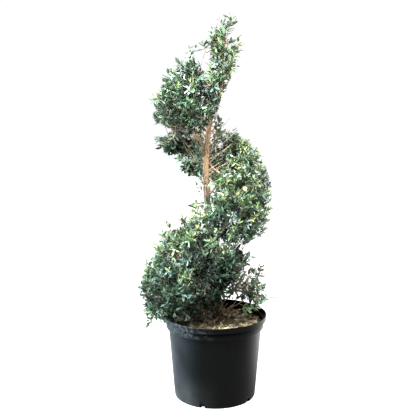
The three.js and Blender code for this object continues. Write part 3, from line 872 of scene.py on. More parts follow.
@dataclass
class Foliage:
    """Grows the twigs and leaves of every mass from its stem, within the band's reach."""

    band: Band
    boughs: BoughRule
    masses: list[Mass]
    pot_radius: float
    pot_height: float
    sprig_share: float = 1.6
    branches: int = 16
    sprig_branches: int = 5
    tuft_size: tuple = (110, 110, 110)
    tuft_seed: int = 33
    deepest: float = 52
    # How much a spray's height, tuft, facing and depth, and chance, change how lit it stands; the tones
    # dealt out from this paint its shade and light.
    light_high: float = 0.46
    light_tuft: float = 0.34
    light_facing: float = 0.16
    light_deep: float = 0.6
    light_chance: float = 0.19
    # The tones dealt out below each light, for a spray's leaves and for its youngest leaves.
    lights: tuple = (
        (0.10, "deep deep dark", "deep dark"),
        (0.32, "dark dark deep blue", "dark mid blue"),
        (0.58, "mid blue dark", "mid blue olive"),
        (0.85, "mid blue olive mid", "olive fresh blue mid"),
        (math.inf, "olive blue mid silver", "fresh silver olive lime"),
    )
    crop: LeafCrop = field(default_factory=LeafCrop)
    twigs: list[Limb] = field(default_factory=list)
    shoots: list[Limb] = field(default_factory=list)

    def stem(self, mass: Mass) -> Limb:
        """Carry a mass's bough on into its heart.

        Args:
            mass: the mass.

        Returns:
            The stem.
        """
        bough = self.boughs.main(mass)
        start, heading = bough.line[-1], bough.heading
        heart = mass.point(self.band, mass.turn, 0.15, 0.1)
        bend = start + heading * 0.4 * np.linalg.norm(heart - start)
        return Limb(bezier(start, bend, heart, 14), bough.tip, 2.6)

    def surface(self, mass: Mass) -> tuple[Array, Array, Array]:
        """Spread candidate spots over the outline of a mass.

        Args:
            mass: the mass.

        Returns:
            The spots, the way each looks, and the area that each stands for.
        """
        columns, rows = 26, 56
        edges_t = np.linspace(mass.low, mass.high, columns + 1)
        turns = (edges_t[1:] + edges_t[:-1]) / 2
        angles = np.arange(rows) / rows * TURN
        power = 2 / self.band.roundness
        across = np.sign(np.cos(angles)) * np.abs(np.cos(angles)) ** power
        up = np.sign(np.sin(angles)) * np.abs(np.sin(angles)) ** power
        t, a = np.repeat(turns, rows), np.tile(across, columns)
        u = np.tile(up, columns)
        sections = mass.sections(self.band, t)
        spots = self.band.point(sections, t, a, u).reshape(columns, rows, 3)
        step_t = np.gradient(spots, axis=0)
        step_a = (np.roll(spots, -1, axis=1) - np.roll(spots, 1, axis=1)) / 2
        facing = np.cross(step_t, step_a)
        area = np.linalg.norm(facing, axis=-1)
        side = np.sign(np.sum(facing * (spots - spots.mean(axis=1, keepdims=True)), -1))
        outward = unit(facing) * side[..., None]
        area = area * np.where(np.tile(across, (columns, 1)) < -0.75, 0.35, 1.0)
        return spots.reshape(-1, 3), outward.reshape(-1, 3), area.ravel()

    def spread(self, spots: Array, area: Array, count: int, random: Random) -> list[int]:
        """Pick spots evenly: each is the furthest from its forerunners of a few drawn by area.

        Args:
            spots: the candidate spots.
            area: the area that each stands for.
            count: how many to pick.
            random: the stream of draws.

        Returns:
            The picked spots' indices.
        """
        picked: list[int] = []
        nearest = np.full(len(spots), np.inf)
        chance = area / area.sum()
        for _ in range(count):
            few = random.choice(len(spots), size=6, p=chance)
            best = int(few[np.argmax(nearest[few])])
            picked.append(best)
            nearest = np.minimum(nearest, np.linalg.norm(spots - spots[best], axis=1))
        return picked

    def fits(self, mass: Mass, points: Array, slack: float) -> Array:
        """Tell which points lie within the mass's reach, clear of the pot and the trunk.

        Args:
            mass: the mass.
            points: the points.
            slack: how deep a point may lie, 1 on the outline.

        Returns:
            One answer for each point.
        """
        turns = self.band.turn_of(points, mass.turn)
        depth = self.band.depth(mass.sections(self.band, turns), points)
        inside = depth + self.band.cleft(turns, points[:, 2]) < slack
        span = (mass.high - mass.low) / 2 + 0.05
        inside &= np.abs(turns - mass.turn) < span
        radius = np.hypot(points[:, 0], points[:, 1])
        inside &= (points[:, 2] > self.pot_height + 3) | (radius > self.pot_radius + 4)
        axis = self.band.trunk.at(points[:, 2])
        gap = np.linalg.norm((points - axis)[:, :2], axis=1) - self.band.trunk.radius(points[:, 2])
        return inside & (gap > 3)

    def tones_for(self, light: float, random: Random) -> tuple[Tone, Tone]:
        """Deal out a spray's tones by how lit it stands, so that darker tones paint shade and paler ones
        paint light.

        Args:
            light: from about 0 in the depths to 1 in the open.
            random: the stream of draws.

        Returns:
            The tone of its leaves and of its youngest leaves.
        """
        choices = next(words for limit, *words in self.lights if light < limit)
        return tuple(Tone(int(random.choice(tones_of(words)))) for words in choices)

    def grow_mass(self, mass: Mass) -> None:
        """Grow the stem, twigs and leafy shoots of one mass.

        Args:
            mass: the mass.
        """
        random = np.random.default_rng(mass.seed)
        growth = GROWTH[mass.habit]
        stem = self.stem(mass)
        self.twigs.append(stem)
        spots, outward, area = self.surface(mass)
        tufts = growth.tufts * (1 + waves(spots, self.tuft_size, mass.seed, 2))
        middle = mass.sections(self.band, np.array([mass.turn]))[0]
        # Painted shade and light: sprays low in a mass, in a dim tuft, facing down or deep inside get
        # darker tones.
        shade = self.light_high * np.clip((spots[:, 2] - middle[0]) / middle[1], -1, 1)
        tuft_shade = self.light_tuft * waves(spots, self.tuft_size, self.tuft_seed, 2)
        shade += tuft_shade + self.light_facing * outward[:, 2]
        first, first_shoot = len(self.crop.batches), len(self.shoots)
        nodes = [stem.line]
        small = mass.own_section is not None
        for pick in self.spread(spots, area, self.sprig_branches if small else self.branches, random):
            root = stem.line[random.integers(3, len(stem.line))]
            end = root + (spots[pick] - root) * (0.62 + 0.12 * random.random())
            bend = (root + end) / 2 + any_direction(random) * 0.1 * np.linalg.norm(end - root) - UP * 8
            line = bezier(root, bend, end, 10)
            if not self.fits(mass, line[4:], 1.0).all():
                continue
            self.twigs.append(Limb(line, 2.6, 1.5))
            nodes.append(line)
        joints = np.vstack(nodes)
        count = int(round(area.sum() / 1e4 * growth.density * (self.sprig_share if small else 1.0)))
        rule = growth.spray
        for pick in self.spread(spots, area, count, random):
            facing = outward[pick]
            deep = abs(random.normal()) * 0.5
            inset = 2 + tufts[pick] + self.deepest * deep
            tip = spots[pick] - facing * inset + any_direction(random) * 6
            rise = 0.55 if facing[2] > -0.3 else 0.1
            heading = unit(facing * 0.75 + UP * rise + any_direction(random) * 0.4)
            reach = rule.leafy * (0.75 + 0.5 * random.random())
            wanted = tip - heading * reach
            far = np.linalg.norm(joints - wanted, axis=1) + 0.25 * np.linalg.norm(joints - tip, axis=1)
            root = joints[int(np.argmin(far))]
            limb = rule.shoot(root, tip, heading, 1.7, 0.05, random)
            if not self.fits(mass, limb.line[3:], 1.03).all():
                continue
            self.shoots.append(limb)
            light = 0.5 + shade[pick] - self.light_deep * deep
            light = light + random.normal() * self.light_chance + mass.pale
            rule.spray(limb, rule.leafy, self.tones_for(light, random), self.crop, self.shoots, random)
        self.trim(mass, first, first_shoot)

    def trim(self, mass: Mass, first: int, first_shoot: int) -> None:
        """Clip off the leaves and shoots of a mass that leave its reach.

        Args:
            mass: the mass.
            first: its first batch of leaves.
            first_shoot: its first shoot.
        """
        if len(self.crop.batches) == first:
            return
        leaves = self.crop.gathered(first)
        ends = leaves["roots"] + leaves["along"] * leaves["sizes"][:, :1] * 0.9
        near = leaves["roots"] + leaves["along"] * 8
        keep = self.fits(mass, ends, 1.04) & self.fits(mass, near, 1.04)
        self.crop.batches[first:] = [{key: values[keep] for key, values in leaves.items()}]
        tips = np.array([limb.line[-1] for limb in self.shoots[first_shoot:]])
        stays = self.fits(mass, tips, 1.05)
        self.shoots[first_shoot:] = [limb for limb, kept in zip(self.shoots[first_shoot:], stays) if kept]

    def grow(self) -> None:
        """Grow every mass."""
        for mass in self.masses:
            before = len(self.crop)
            self.grow_mass(mass)
            log.info("%s bears %d leaves", mass.name, len(self.crop) - before)


@dataclass(frozen=True)
class LooseSprig:
    """A shoot that stands clear of the clipped outline, bowed sideways between its ends."""

    start: tuple[float, float, float]
    end: tuple[float, float, float]
    leafy: float
    tones: str
    bow: float = 0.06
    radius: float = 1.6
    side_shoots: int = 1
    tip: float = 0.8

    def limb(self) -> Limb:
        """Run the shoot from its start to its end.

        Returns:
            The shoot.
        """
        start, end = np.array(self.start, float), np.array(self.end, float)
        span = np.linalg.norm(end - start)
        bend = (start + end) / 2 + unit(np.cross(end - start, [0, 1, 0])) * self.bow * span
        return Limb(bezier(start, bend, end, 12), self.radius, self.tip)


# Each sprig that stands clear of the outline, in the order in which they are grown.
SPRIGS = (
    ((44, -8, 1572), (74, -10, 1668), 80, "mid fresh", 0.03, 3.0, 3),
    ((40, -8, 1550), (36, -16, 1640), 66, "silver mid", 0.05, 1.8, 2),
    ((30, -8, 1520), (8, -18, 1618), 72, "mid silver", 0.08, 1.8, 2),
    ((24, -10, 1500), (-12, -24, 1590), 60, "mid mid", 0.1, 1.7, 2),
    ((-66, -30, 1440), (-24, -34, 1556), 22, "blue silver", 0.1, 1.5, 0),
    ((-30, -20, 1300), (-66, -70, 1240), 60, "dark blue", 0.1, 1.4, 2),
    ((-34, 0, 1180), (-52, -60, 1236), 50, "dark mid", 0.1, 1.3, 2),
    ((0, -6, 1330), (-10, -64, 1384), 54, "dark mid", 0.1, 1.4, 3),
    ((-8, -6, 1290), (-14, -66, 1338), 54, "deep blue", 0.1, 1.4, 3),
    ((-60, -20, 1340), (-116, -76, 1380), 50, "dark olive", 0.1, 1.4, 2),
    ((-36, 6, 1080), (-96, -56, 1130), 50, "blue olive", 0.1, 1.4, 2),
    ((-40, 8, 1010), (-84, -50, 1064), 44, "blue olive", 0.1, 1.3, 2),
    ((-30, 10, 830), (24, -90, 872), 50, "dark mid", 0.1, 1.6, 2),
    ((-30, 10, 780), (-30, -100, 812), 50, "dark blue", 0.1, 1.6, 3),
    ((15, 40, 450), (-6, -52, 456), 64, "dark mid", 0.12, 1.7, 3),
    ((15, 40, 462), (30, -46, 474), 64, "dark blue", 0.12, 1.7, 3),
    ((10, 40, 440), (-60, -50, 420), 60, "dark dark", 0.12, 1.6, 3),
    ((60, -60, 590), (112, -72, 664), 60, "dark mid", 0.1, 1.7, 3),
    ((70, -40, 560), (138, -60, 640), 60, "blue mid", 0.1, 1.7, 3),
    ((-180, -40, 1296), (-254, -60, 1338), 50, "mid fresh", 0.1, 1.7, 2),
    ((-34, -30, 1506), (-54, -34, 1556), 26, "dark dark"),
    ((-69, -20, 1392), (-106, -30, 1532), 80, "silver fresh", 0.14, 2.8, 3),
    ((-100, -24, 1430), (-146, -34, 1470), 44, "blue silver", 0.1, 1.8, 2),
    ((44, -8, 1500), (108, -14, 1552), 46, "fresh lime", 0.06, 1.6, 2),
    ((44, -8, 1480), (76, -10, 1534), 46, "mid fresh", 0.08, 1.4, 2),
    ((8, -10, 1376), (-24, -40, 1456), 50, "mid fresh", 0.1, 1.4, 3),
    ((-150, -40, 1366), (-208, -60, 1420), 44, "blue silver", 0.1, 1.6, 2),
    ((34, -12, 1470), (90, -18, 1516), 50, "mid fresh"),
    ((24, -20, 1430), (86, -26, 1462), 50, "mid fresh"),
    ((14, -14, 1420), (74, -36, 1490), 60, "mid fresh", 0.1, 1.4, 2),
    ((10, -10, 1420), (16, -60, 1486), 56, "blue mid", 0.1, 1.4, 2),
    ((20, -10, 1460), (30, -50, 1530), 50, "mid olive", 0.1, 1.4, 2),
    ((20, -10, 1430), (-10, -32, 1514), 50, "silver mid", 0.08, 1.4, 2),
    ((-28, 4, 1150), (30, -14, 1186), 34, "mid fresh", 0.08, 1.4, 1),
    ((-60, -30, 1060), (-158, -60, 1080), 60, "blue mid", 0.1, 1.6, 2),
    ((-46, 2, 960), (-98, -22, 1030), 40, "dark blue", 0.08, 1.5),
    ((-40, -10, 815), (-96, -60, 866), 46, "olive mid", 0.1, 1.6, 2),
    ((-150, -60, 720), (-206, -90, 800), 50, "olive fresh", 0.1, 1.8),
    ((-170, -60, 690), (-230, -80, 764), 50, "blue mid", 0.1, 1.8),
    ((120, 10, 480), (204, -10, 588), 70, "silver fresh", -0.1, 2.0, 3),
    ((130, -20, 470), (190, -40, 520), 60, "mid fresh", -0.1, 2.0, 2),
    ((120, -30, 440), (250, -50, 462), 40, "olive fresh", 0.12, 2.0, 1),
    ((110, -40, 430), (170, -70, 420), 50, "mid olive", -0.1, 1.8, 2),
    ((-200, -60, 640), (-262, -80, 704), 44, "olive fresh", 0.1, 1.7, 1),
    ((-230, -60, 580), (-296, -70, 628), 44, "mid fresh", 0.1, 1.7, 1),
    ((-90, -50, 770), (-146, -80, 832), 40, "olive silver", 0.1, 1.6, 1),
    ((90, -90, 560), (136, -120, 672), 60, "blue mid", -0.08, 1.8, 2),
    ((-250, -10, 450), (-326, -30, 500), 56, "dark blue", 0.1, 2.0, 2),
    ((-240, -20, 440), (-302, -50, 392), 56, "blue mid", 0.12, 1.9, 2),
    ((-230, -40, 430), (-296, -70, 360), 56, "mid silver", 0.14, 1.9, 2),
    ((-30, 6, 850), (4, -80, 905), 50, "dark olive", 0.1, 1.4, 3),
    ((-34, 6, 950), (50, -90, 1000), 56, "mid olive", 0.1, 1.4, 3),
    ((-8, -10, 1306), (-26, -72, 1366), 56, "dark blue", 0.1, 1.4, 3),
    ((-60, -20, 1326), (-104, -92, 1382), 56, "dark mid", 0.1, 1.4, 3),
    ((-112, -20, 1330), (-126, -94, 1380), 60, "dark blue", 0.04, 1.4, 4),
    ((-20, -6, 1260), (-52, -72, 1312), 60, "dark blue", 0.1, 1.4, 3),
)


@dataclass(frozen=True)
class Fan:
    """Thin bare twigs that leave one stretch of the trunk on the same side."""

    count: int
    springs: tuple[float, float]
    facing: float
    spread: float
    lengths: tuple[float, float]
    slopes: tuple[float, float]
    seed: int
    leafy_share: float = 0.4
    radius: float = 1.4

    def limbs(self, trunk: TrunkLine) -> list[Limb]:
        """Run the fan's twigs out from the trunk.

        Args:
            trunk: the trunk's line.

        Returns:
            The twigs.
        """
        random = np.random.default_rng(self.seed)
        found = []
        for i in range(self.count):
            share = (i + random.random()) / self.count
            start = trunk.at(np.array([mix(*self.springs, share)]))[0]
            angle = TURN * (self.facing + self.spread * (random.random() - 0.5))
            slope = mix(*self.slopes, random.random())
            way = unit(np.array([math.cos(angle), math.sin(angle), slope]))
            length = mix(*self.lengths, random.random())
            bend = start + way * length * 0.5 - UP * length * 0.08 + any_direction(random) * length * 0.05
            line = bezier(start, bend, start + way * length + UP * length * 0.05, 12)
            found.append(Limb(line, self.radius * (1 + 0.6 * random.random()), self.radius / 2))
        return found


FANS = (
    Fan(20, (960, 1220), 0.49, 0.24, (75, 190), (0.85, 1.5), 9001),
    Fan(15, (985, 1190), 0.02, 0.2, (70, 160), (0.35, 0.75), 9002),
    Fan(6, (1030, 1240), 0.62, 0.16, (60, 130), (1.1, 1.9), 9003),
    Fan(14, (1190, 1310), 0.74, 0.36, (50, 110), (0.7, 1.5), 9005, 0.9),
    Fan(12, (900, 1160), 0.97, 0.2, (40, 90), (0.5, 1.2), 9006, 0.8),
    Fan(9, (880, 1010), 0.52, 0.3, (35, 80), (0.5, 1.3), 9007, 0.6),
    Fan(6, (352, 372), 0.93, 0.34, (70, 130), (0.35, 1.1), 9004, 0.0, 2.4),
    Fan(4, (352, 372), 0.55, 0.3, (50, 90), (0.5, 1.1), 9008, 0.0, 2.2),
)


# ---------------------------------------------------------------------------- shader nodes


@dataclass(frozen=True)
class Graph:
    """A tree of shader nodes under construction."""

    tree: bpy.types.NodeTree

    def feed(self, socket: Socket, value: object) -> None:
        """Feed a socket from another one, or set its value.

        Args:
            socket: the socket.
            value: the other socket, or the value.
        """
        if isinstance(value, Socket):
            self.tree.links.new(value, socket)
        else:
            socket.default_value = value

    def node(self, kind: str, inputs: Optional[dict] = None, **settings: object) -> bpy.types.Node:
        """Add a shader node.

        Args:
            kind: the end of its type's name.
            inputs: the source or value of each input that is set, by its name or number.
            settings: its own settings, which are made first.

        Returns:
            The node.
        """
        node = self.tree.nodes.new(f"ShaderNode{kind}")
        for name, value in settings.items():
            setattr(node, name, value)
        for key, value in (inputs or {}).items():
            self.feed(node.inputs[key], value)
        return node

    def place(self, kind: str = "Object") -> Socket:
        """Return where a point lies on the object."""
        return self.node("TexCoord").outputs[kind]

    def part(self, vector: Socket, axis: str) -> Socket:
        """Return a vector's part along one axis."""
        return self.node("SeparateXYZ", {0: vector}).outputs[axis]

    def math(self, operation: str, *values: object, clamp: bool = False) -> Socket:
        """Work out a sum or product of numbers."""
        return self.node("Math", dict(enumerate(values)), operation=operation, use_clamp=clamp).outputs[0]

    def noise(self, place: Socket, scale: object, detail: float, roughness: float = 0.5) -> Socket:
        """Return fractal noise."""
        inputs = {"Vector": place, "Scale": scale, "Detail": detail, "Roughness": roughness}
        return self.node("TexNoise", inputs).outputs[0]

    def ramp(
        self, value: Socket, start: tuple = (0, 1), end: tuple = (0, 1), smooth: bool = False
    ) -> Socket:
        """Map one span of numbers to another.

        Args:
            value: what is mapped.
            start: the ends of the first span.
            end: the ends of the second span.
            smooth: whether it eases in and out.

        Returns:
            The mapped number.
        """
        labels = ("Value", "From Min", "From Max", "To Min", "To Max")
        inputs = dict(zip(labels, (value, *start, *end)))
        kind = "SMOOTHSTEP" if smooth else "LINEAR"
        return self.node("MapRange", inputs, interpolation_type=kind).outputs[0]


class Groups:
    """Shader node groups that several finishes share, each built once."""

    made: dict[str, bpy.types.NodeTree] = {}

    @classmethod
    def get(cls, name: str, inputs: dict[str, float], output: str, wire: Callable) -> bpy.types.NodeTree:
        """Return a group, building it the first time.

        Args:
            name: the group's name.
            inputs: its number inputs and their usual values.
            output: its number output.
            wire: a function that wires its graph and inputs and returns the output's source.

        Returns:
            The group.
        """
        if name not in cls.made:
            tree = bpy.data.node_groups.new(name, "ShaderNodeTree")
            for label, value in inputs.items():
                socket = tree.interface.new_socket(label, in_out="INPUT", socket_type="NodeSocketFloat")
                socket.default_value = value
            tree.interface.new_socket(output, in_out="OUTPUT", socket_type="NodeSocketFloat")
            start, end = tree.nodes.new("NodeGroupInput"), tree.nodes.new("NodeGroupOutput")
            source = wire(Graph(tree), {label: start.outputs[label] for label in inputs})
            tree.links.new(source, end.inputs[output])
            cls.made[name] = tree
        return cls.made[name]

    @classmethod
    def fibre(cls) -> bpy.types.NodeTree:
        """Return noise drawn out along the upright axis, as in bark."""
        return cls.get("fibre", {"Across": 300.0, "Along": 30.0}, "Height", cls.wire_fibre)

    @classmethod
    def patches(cls) -> bpy.types.NodeTree:
        """Return soft patches between two thresholds."""
        return cls.get("patches", {"Scale": 20.0, "Low": 0.4, "High": 0.65}, "Mask", cls.wire_patches)

    @classmethod
    def dust(cls) -> bpy.types.NodeTree:
        """Return dust that lies on faces that look up and in speckles elsewhere."""
        return cls.get("dust", {"Scale": 60.0, "Amount": 0.3}, "Mask", cls.wire_dust)

    @staticmethod
    def wire_fibre(graph: Graph, given: dict[str, Socket]) -> Socket:
        """Wire the fibre group.

        Args:
            graph: the group's graph.
            given: the group's inputs.

        Returns:
            The height's source.
        """
        across, along = given["Across"], given["Along"]
        scale = graph.node("CombineXYZ", {"X": across, "Y": across, "Z": along}).outputs[0]
        stretched = graph.node("VectorMath", {0: graph.place(), 1: scale}, operation="MULTIPLY")
        return graph.noise(stretched.outputs[0], 1, 6, 0.62)

    @staticmethod
    def wire_patches(graph: Graph, given: dict[str, Socket]) -> Socket:
        """Wire the patches group."""
        noise = graph.noise(graph.place(), given["Scale"], 5)
        return graph.ramp(noise, (given["Low"], given["High"]), smooth=True)

    @staticmethod
    def wire_dust(graph: Graph, given: dict[str, Socket]) -> Socket:
        """Wire the dust group.

        Args:
            graph: the group's graph.
            given: the group's inputs.

        Returns:
            The mask's source.
        """
        upward = graph.part(graph.node("NewGeometry").outputs["Normal"], "Z")
        grain = graph.noise(graph.place(), given["Scale"], 8, 0.75)
        both = graph.math("ADD", graph.ramp(upward, (0.2, 1)), graph.ramp(grain, (0.5, 0.8)))
        return graph.math("MULTIPLY", both, given["Amount"], clamp=True)


class Surface:
    """One material under construction: its Principled shader and helpers that feed it."""

    def __init__(self, name: str, color: Sequence[float], roughness: float) -> None:
        """Start a material with a plain colour and roughness.

        Args:
            name: the material's name.
            color: its plain colour.
            roughness: its plain roughness.
        """
        self.material = bpy.data.materials.new(name)
        self.material.use_nodes = True
        self.graph = Graph(self.material.node_tree)
        self.shader = self.material.node_tree.nodes["Principled BSDF"]
        self.set("Base Color", (*color, 1))
        self.set("Roughness", roughness)
        self.material.diffuse_color = (*color, 1)

    def set(self, socket: str, value: object) -> None:
        """Set or feed one of the shader's own sockets."""
        self.graph.feed(self.shader.inputs[socket], value)

    def group(self, tree: bpy.types.NodeTree, **values: float) -> Socket:
        """Place a shared group with its own values and return its output."""
        inputs = {label.capitalize(): value for label, value in values.items()}
        return self.graph.node("Group", inputs, node_tree=tree).outputs[0]

    def blend(self, mask: Socket, low: object, high: object) -> Socket:
        """Mix two colours by a mask.

        Args:
            mask: 0 for the first colour, 1 for the second.
            low: the first colour, or its source.
            high: the second colour, or its source.

        Returns:
            The mixed colour.
        """
        # The colour inputs of the node are its seventh and eighth.
        inputs = {"Factor": mask}
        for slot, color in ((6, low), (7, high)):
            inputs[slot] = color if isinstance(color, Socket) else (*color, 1)
        return self.graph.node("Mix", inputs, data_type="RGBA").outputs[2]

    def span(self, mask: Socket, low: float, high: float) -> Socket:
        """Stretch a mask over a span of numbers."""
        return self.graph.ramp(mask, end=(low, high))

    def product(self, first: Socket, second: Socket) -> Socket:
        """Multiply two masks."""
        return self.graph.math("MULTIPLY", first, second)

    def axis_mask(self, axis: str, low: float, high: float) -> Socket:
        """Rise from 0 to 1 between two places along an axis, in metres."""
        return self.graph.ramp(self.graph.part(self.graph.place(), axis), (low, high), smooth=True)

    def bump(self, height: Socket, strength: float, distance: float) -> None:
        """Raise the surface by a height."""
        inputs = {"Height": height, "Strength": strength, "Distance": distance}
        self.set("Normal", self.graph.node("Bump", inputs).outputs["Normal"])


# ---------------------------------------------------------------------------- finishes


@dataclass(frozen=True)
class PlainFinish:
    """A face of one plain tone."""

    name: str
    color: tuple[float, float, float]
    roughness: float
    specular: float = 0.5

    def build(self) -> Material:
        """Make the material.

        Returns:
            The material.
        """
        surface = Surface(self.name, self.color, self.roughness)
        surface.set("Specular IOR Level", self.specular)
        return surface.material


@dataclass(frozen=True)
class LeafFinish(PlainFinish):
    """A waxy leaf face."""

    roughness: float = 0.36


@dataclass(frozen=True)
class TwigFinish(PlainFinish):
    """Thin bark of a twig or shoot."""

    roughness: float = 0.7
    specular: float = 0.3


@dataclass(frozen=True)
class LitterFinish(PlainFinish):
    """A dry leaf or chip."""

    roughness: float = 0.8


@dataclass(frozen=True)
class BarkFinish:
    """Fibrous bark, orange-brown above a height and grey-brown below it, partly for older bark low down and
    partly as painted light on the upper trunk and painted shade on the lower trunk inside the foliage.
    """

    name: str
    upper_tone: tuple[float, float, float] = (0.88, 0.58, 0.37)
    old: tuple[float, float, float] = (0.125, 0.105, 0.080)
    crack: tuple[float, float, float] = (0.15, 0.10, 0.065)
    low: float = 0.88
    high: float = 1.12
    patch_gain: float = 1.2

    def build(self) -> Material:
        """Make the material.

        Returns:
            The material.
        """
        surface = Surface(self.name, self.upper_tone, 0.82)
        fibre = surface.group(Groups.fibre(), across=260, along=22)
        fine = surface.group(Groups.fibre(), across=900, along=70)
        patch = surface.group(Groups.patches(), scale=34, low=0.42, high=0.62)
        # Upper tone above the mask, lower tone below: partly the bark's change with age, partly painted
        # light and shade by height.
        upper_share = surface.axis_mask("Z", self.low, self.high)
        base = surface.blend(upper_share, self.old, self.upper_tone)
        bright = tuple(self.patch_gain * part for part in self.upper_tone)
        pale = surface.blend(surface.product(upper_share, patch), base, bright)
        surface.set("Base Color", surface.blend(surface.span(fibre, 1.9, -1.1), pale, self.crack))
        surface.set("Roughness", surface.span(fine, 0.65, 0.95))
        surface.bump(fine, 0.9, 0.0016)
        surface.set("Specular IOR Level", 0.25)
        return surface.material


@dataclass(frozen=True)
class PotFinish:
    """Black moulded plastic, scuffed, with a pale bluish film on its left side that is partly dust and
    partly a painted sheen of reflected light, and pale rim marks that are partly scuffs and partly a
    painted highlight.
    """

    name: str = "black_nursery_plastic"
    black: tuple[float, float, float] = (0.0015, 0.0019, 0.0018)
    # Partly dust and partly a painted sheen: the reflection of light on the pot's left side.
    dust_and_sheen: tuple[float, float, float] = (0.020, 0.028, 0.034)
    dusty: tuple[float, float, float] = (0.045, 0.052, 0.056)
    # The rim's pale marks: partly scuffs, partly a painted highlight on the rim's left side.
    scuffs_and_highlight: tuple[float, float, float] = (0.062, 0.074, 0.081)
    # Where the left side's dust and painted sheen and the other marks begin and end, in metres: across
    # first, then upward.
    dust_and_sheen_across: tuple[float, float] = (-0.045, -0.215)
    splash_across: tuple[float, float] = (0.03, -0.15)
    splash_up: tuple[float, float] = (0.17, -0.02)
    rim_mark_across: tuple[float, float] = (0.02, -0.14)
    rim_mark_up: tuple[float, float] = (0.31, 0.325)

    def build(self) -> Material:
        """Make the material.

        Returns:
            The material.
        """
        surface = Surface(self.name, self.black, 0.4)
        cloud = surface.group(Groups.patches(), scale=6, low=0.15, high=0.72)
        rim_mark_patches = surface.group(Groups.patches(), scale=75, low=0.42, high=0.74)
        grain = surface.group(Groups.dust(), scale=110, amount=0.03)
        scuff = surface.group(Groups.fibre(), across=55, along=420)
        # The left side's pale film, partly dust and partly a painted sheen of reflected light.
        side = surface.axis_mask("X", *self.dust_and_sheen_across)
        splash = surface.product(
            surface.axis_mask("X", *self.splash_across), surface.axis_mask("Z", *self.splash_up)
        )
        # Pale marks on the upper rim's left side: partly scuffs, partly a painted highlight.
        rim = surface.product(
            surface.axis_mask("X", *self.rim_mark_across), surface.axis_mask("Z", *self.rim_mark_up)
        )
        color: object = self.black
        layers = (
            (surface.product(side, cloud), self.dust_and_sheen),
            (surface.product(splash, cloud), self.dusty),
            (surface.product(rim, rim_mark_patches), self.scuffs_and_highlight),
            (grain, self.dusty),
        )
        for mask, over in layers:
            color = surface.blend(mask, color, over)
        surface.set("Base Color", color)
        surface.set("Roughness", surface.span(scuff, 0.2, 0.5))
        surface.bump(scuff, 0.12, 0.0006)
        surface.set("Specular IOR Level", 0.05)
        return surface.material


@dataclass(frozen=True)
class CompostFinish:
    """Composted bark, from near black to brown, with paler crumbs."""

    name: str = "bark_compost"
    dark: tuple[float, float, float] = (0.014, 0.011, 0.008)
    brown: tuple[float, float, float] = (0.075, 0.054, 0.034)
    crumb: tuple[float, float, float] = (0.22, 0.18, 0.115)

    def build(self) -> Material:
        """Make the material.

        Returns:
            The material.
        """
        surface = Surface(self.name, self.brown, 0.95)
        lump = surface.group(Groups.patches(), scale=95, high=0.62)
        crumb = surface.group(Groups.patches(), scale=240, low=0.62, high=0.74)
        base = surface.blend(lump, self.dark, self.brown)
        surface.set("Base Color", surface.blend(crumb, base, self.crumb))
        surface.bump(lump, 0.8, 0.004)
        return surface.material


# ---------------------------------------------------------------------------- pot


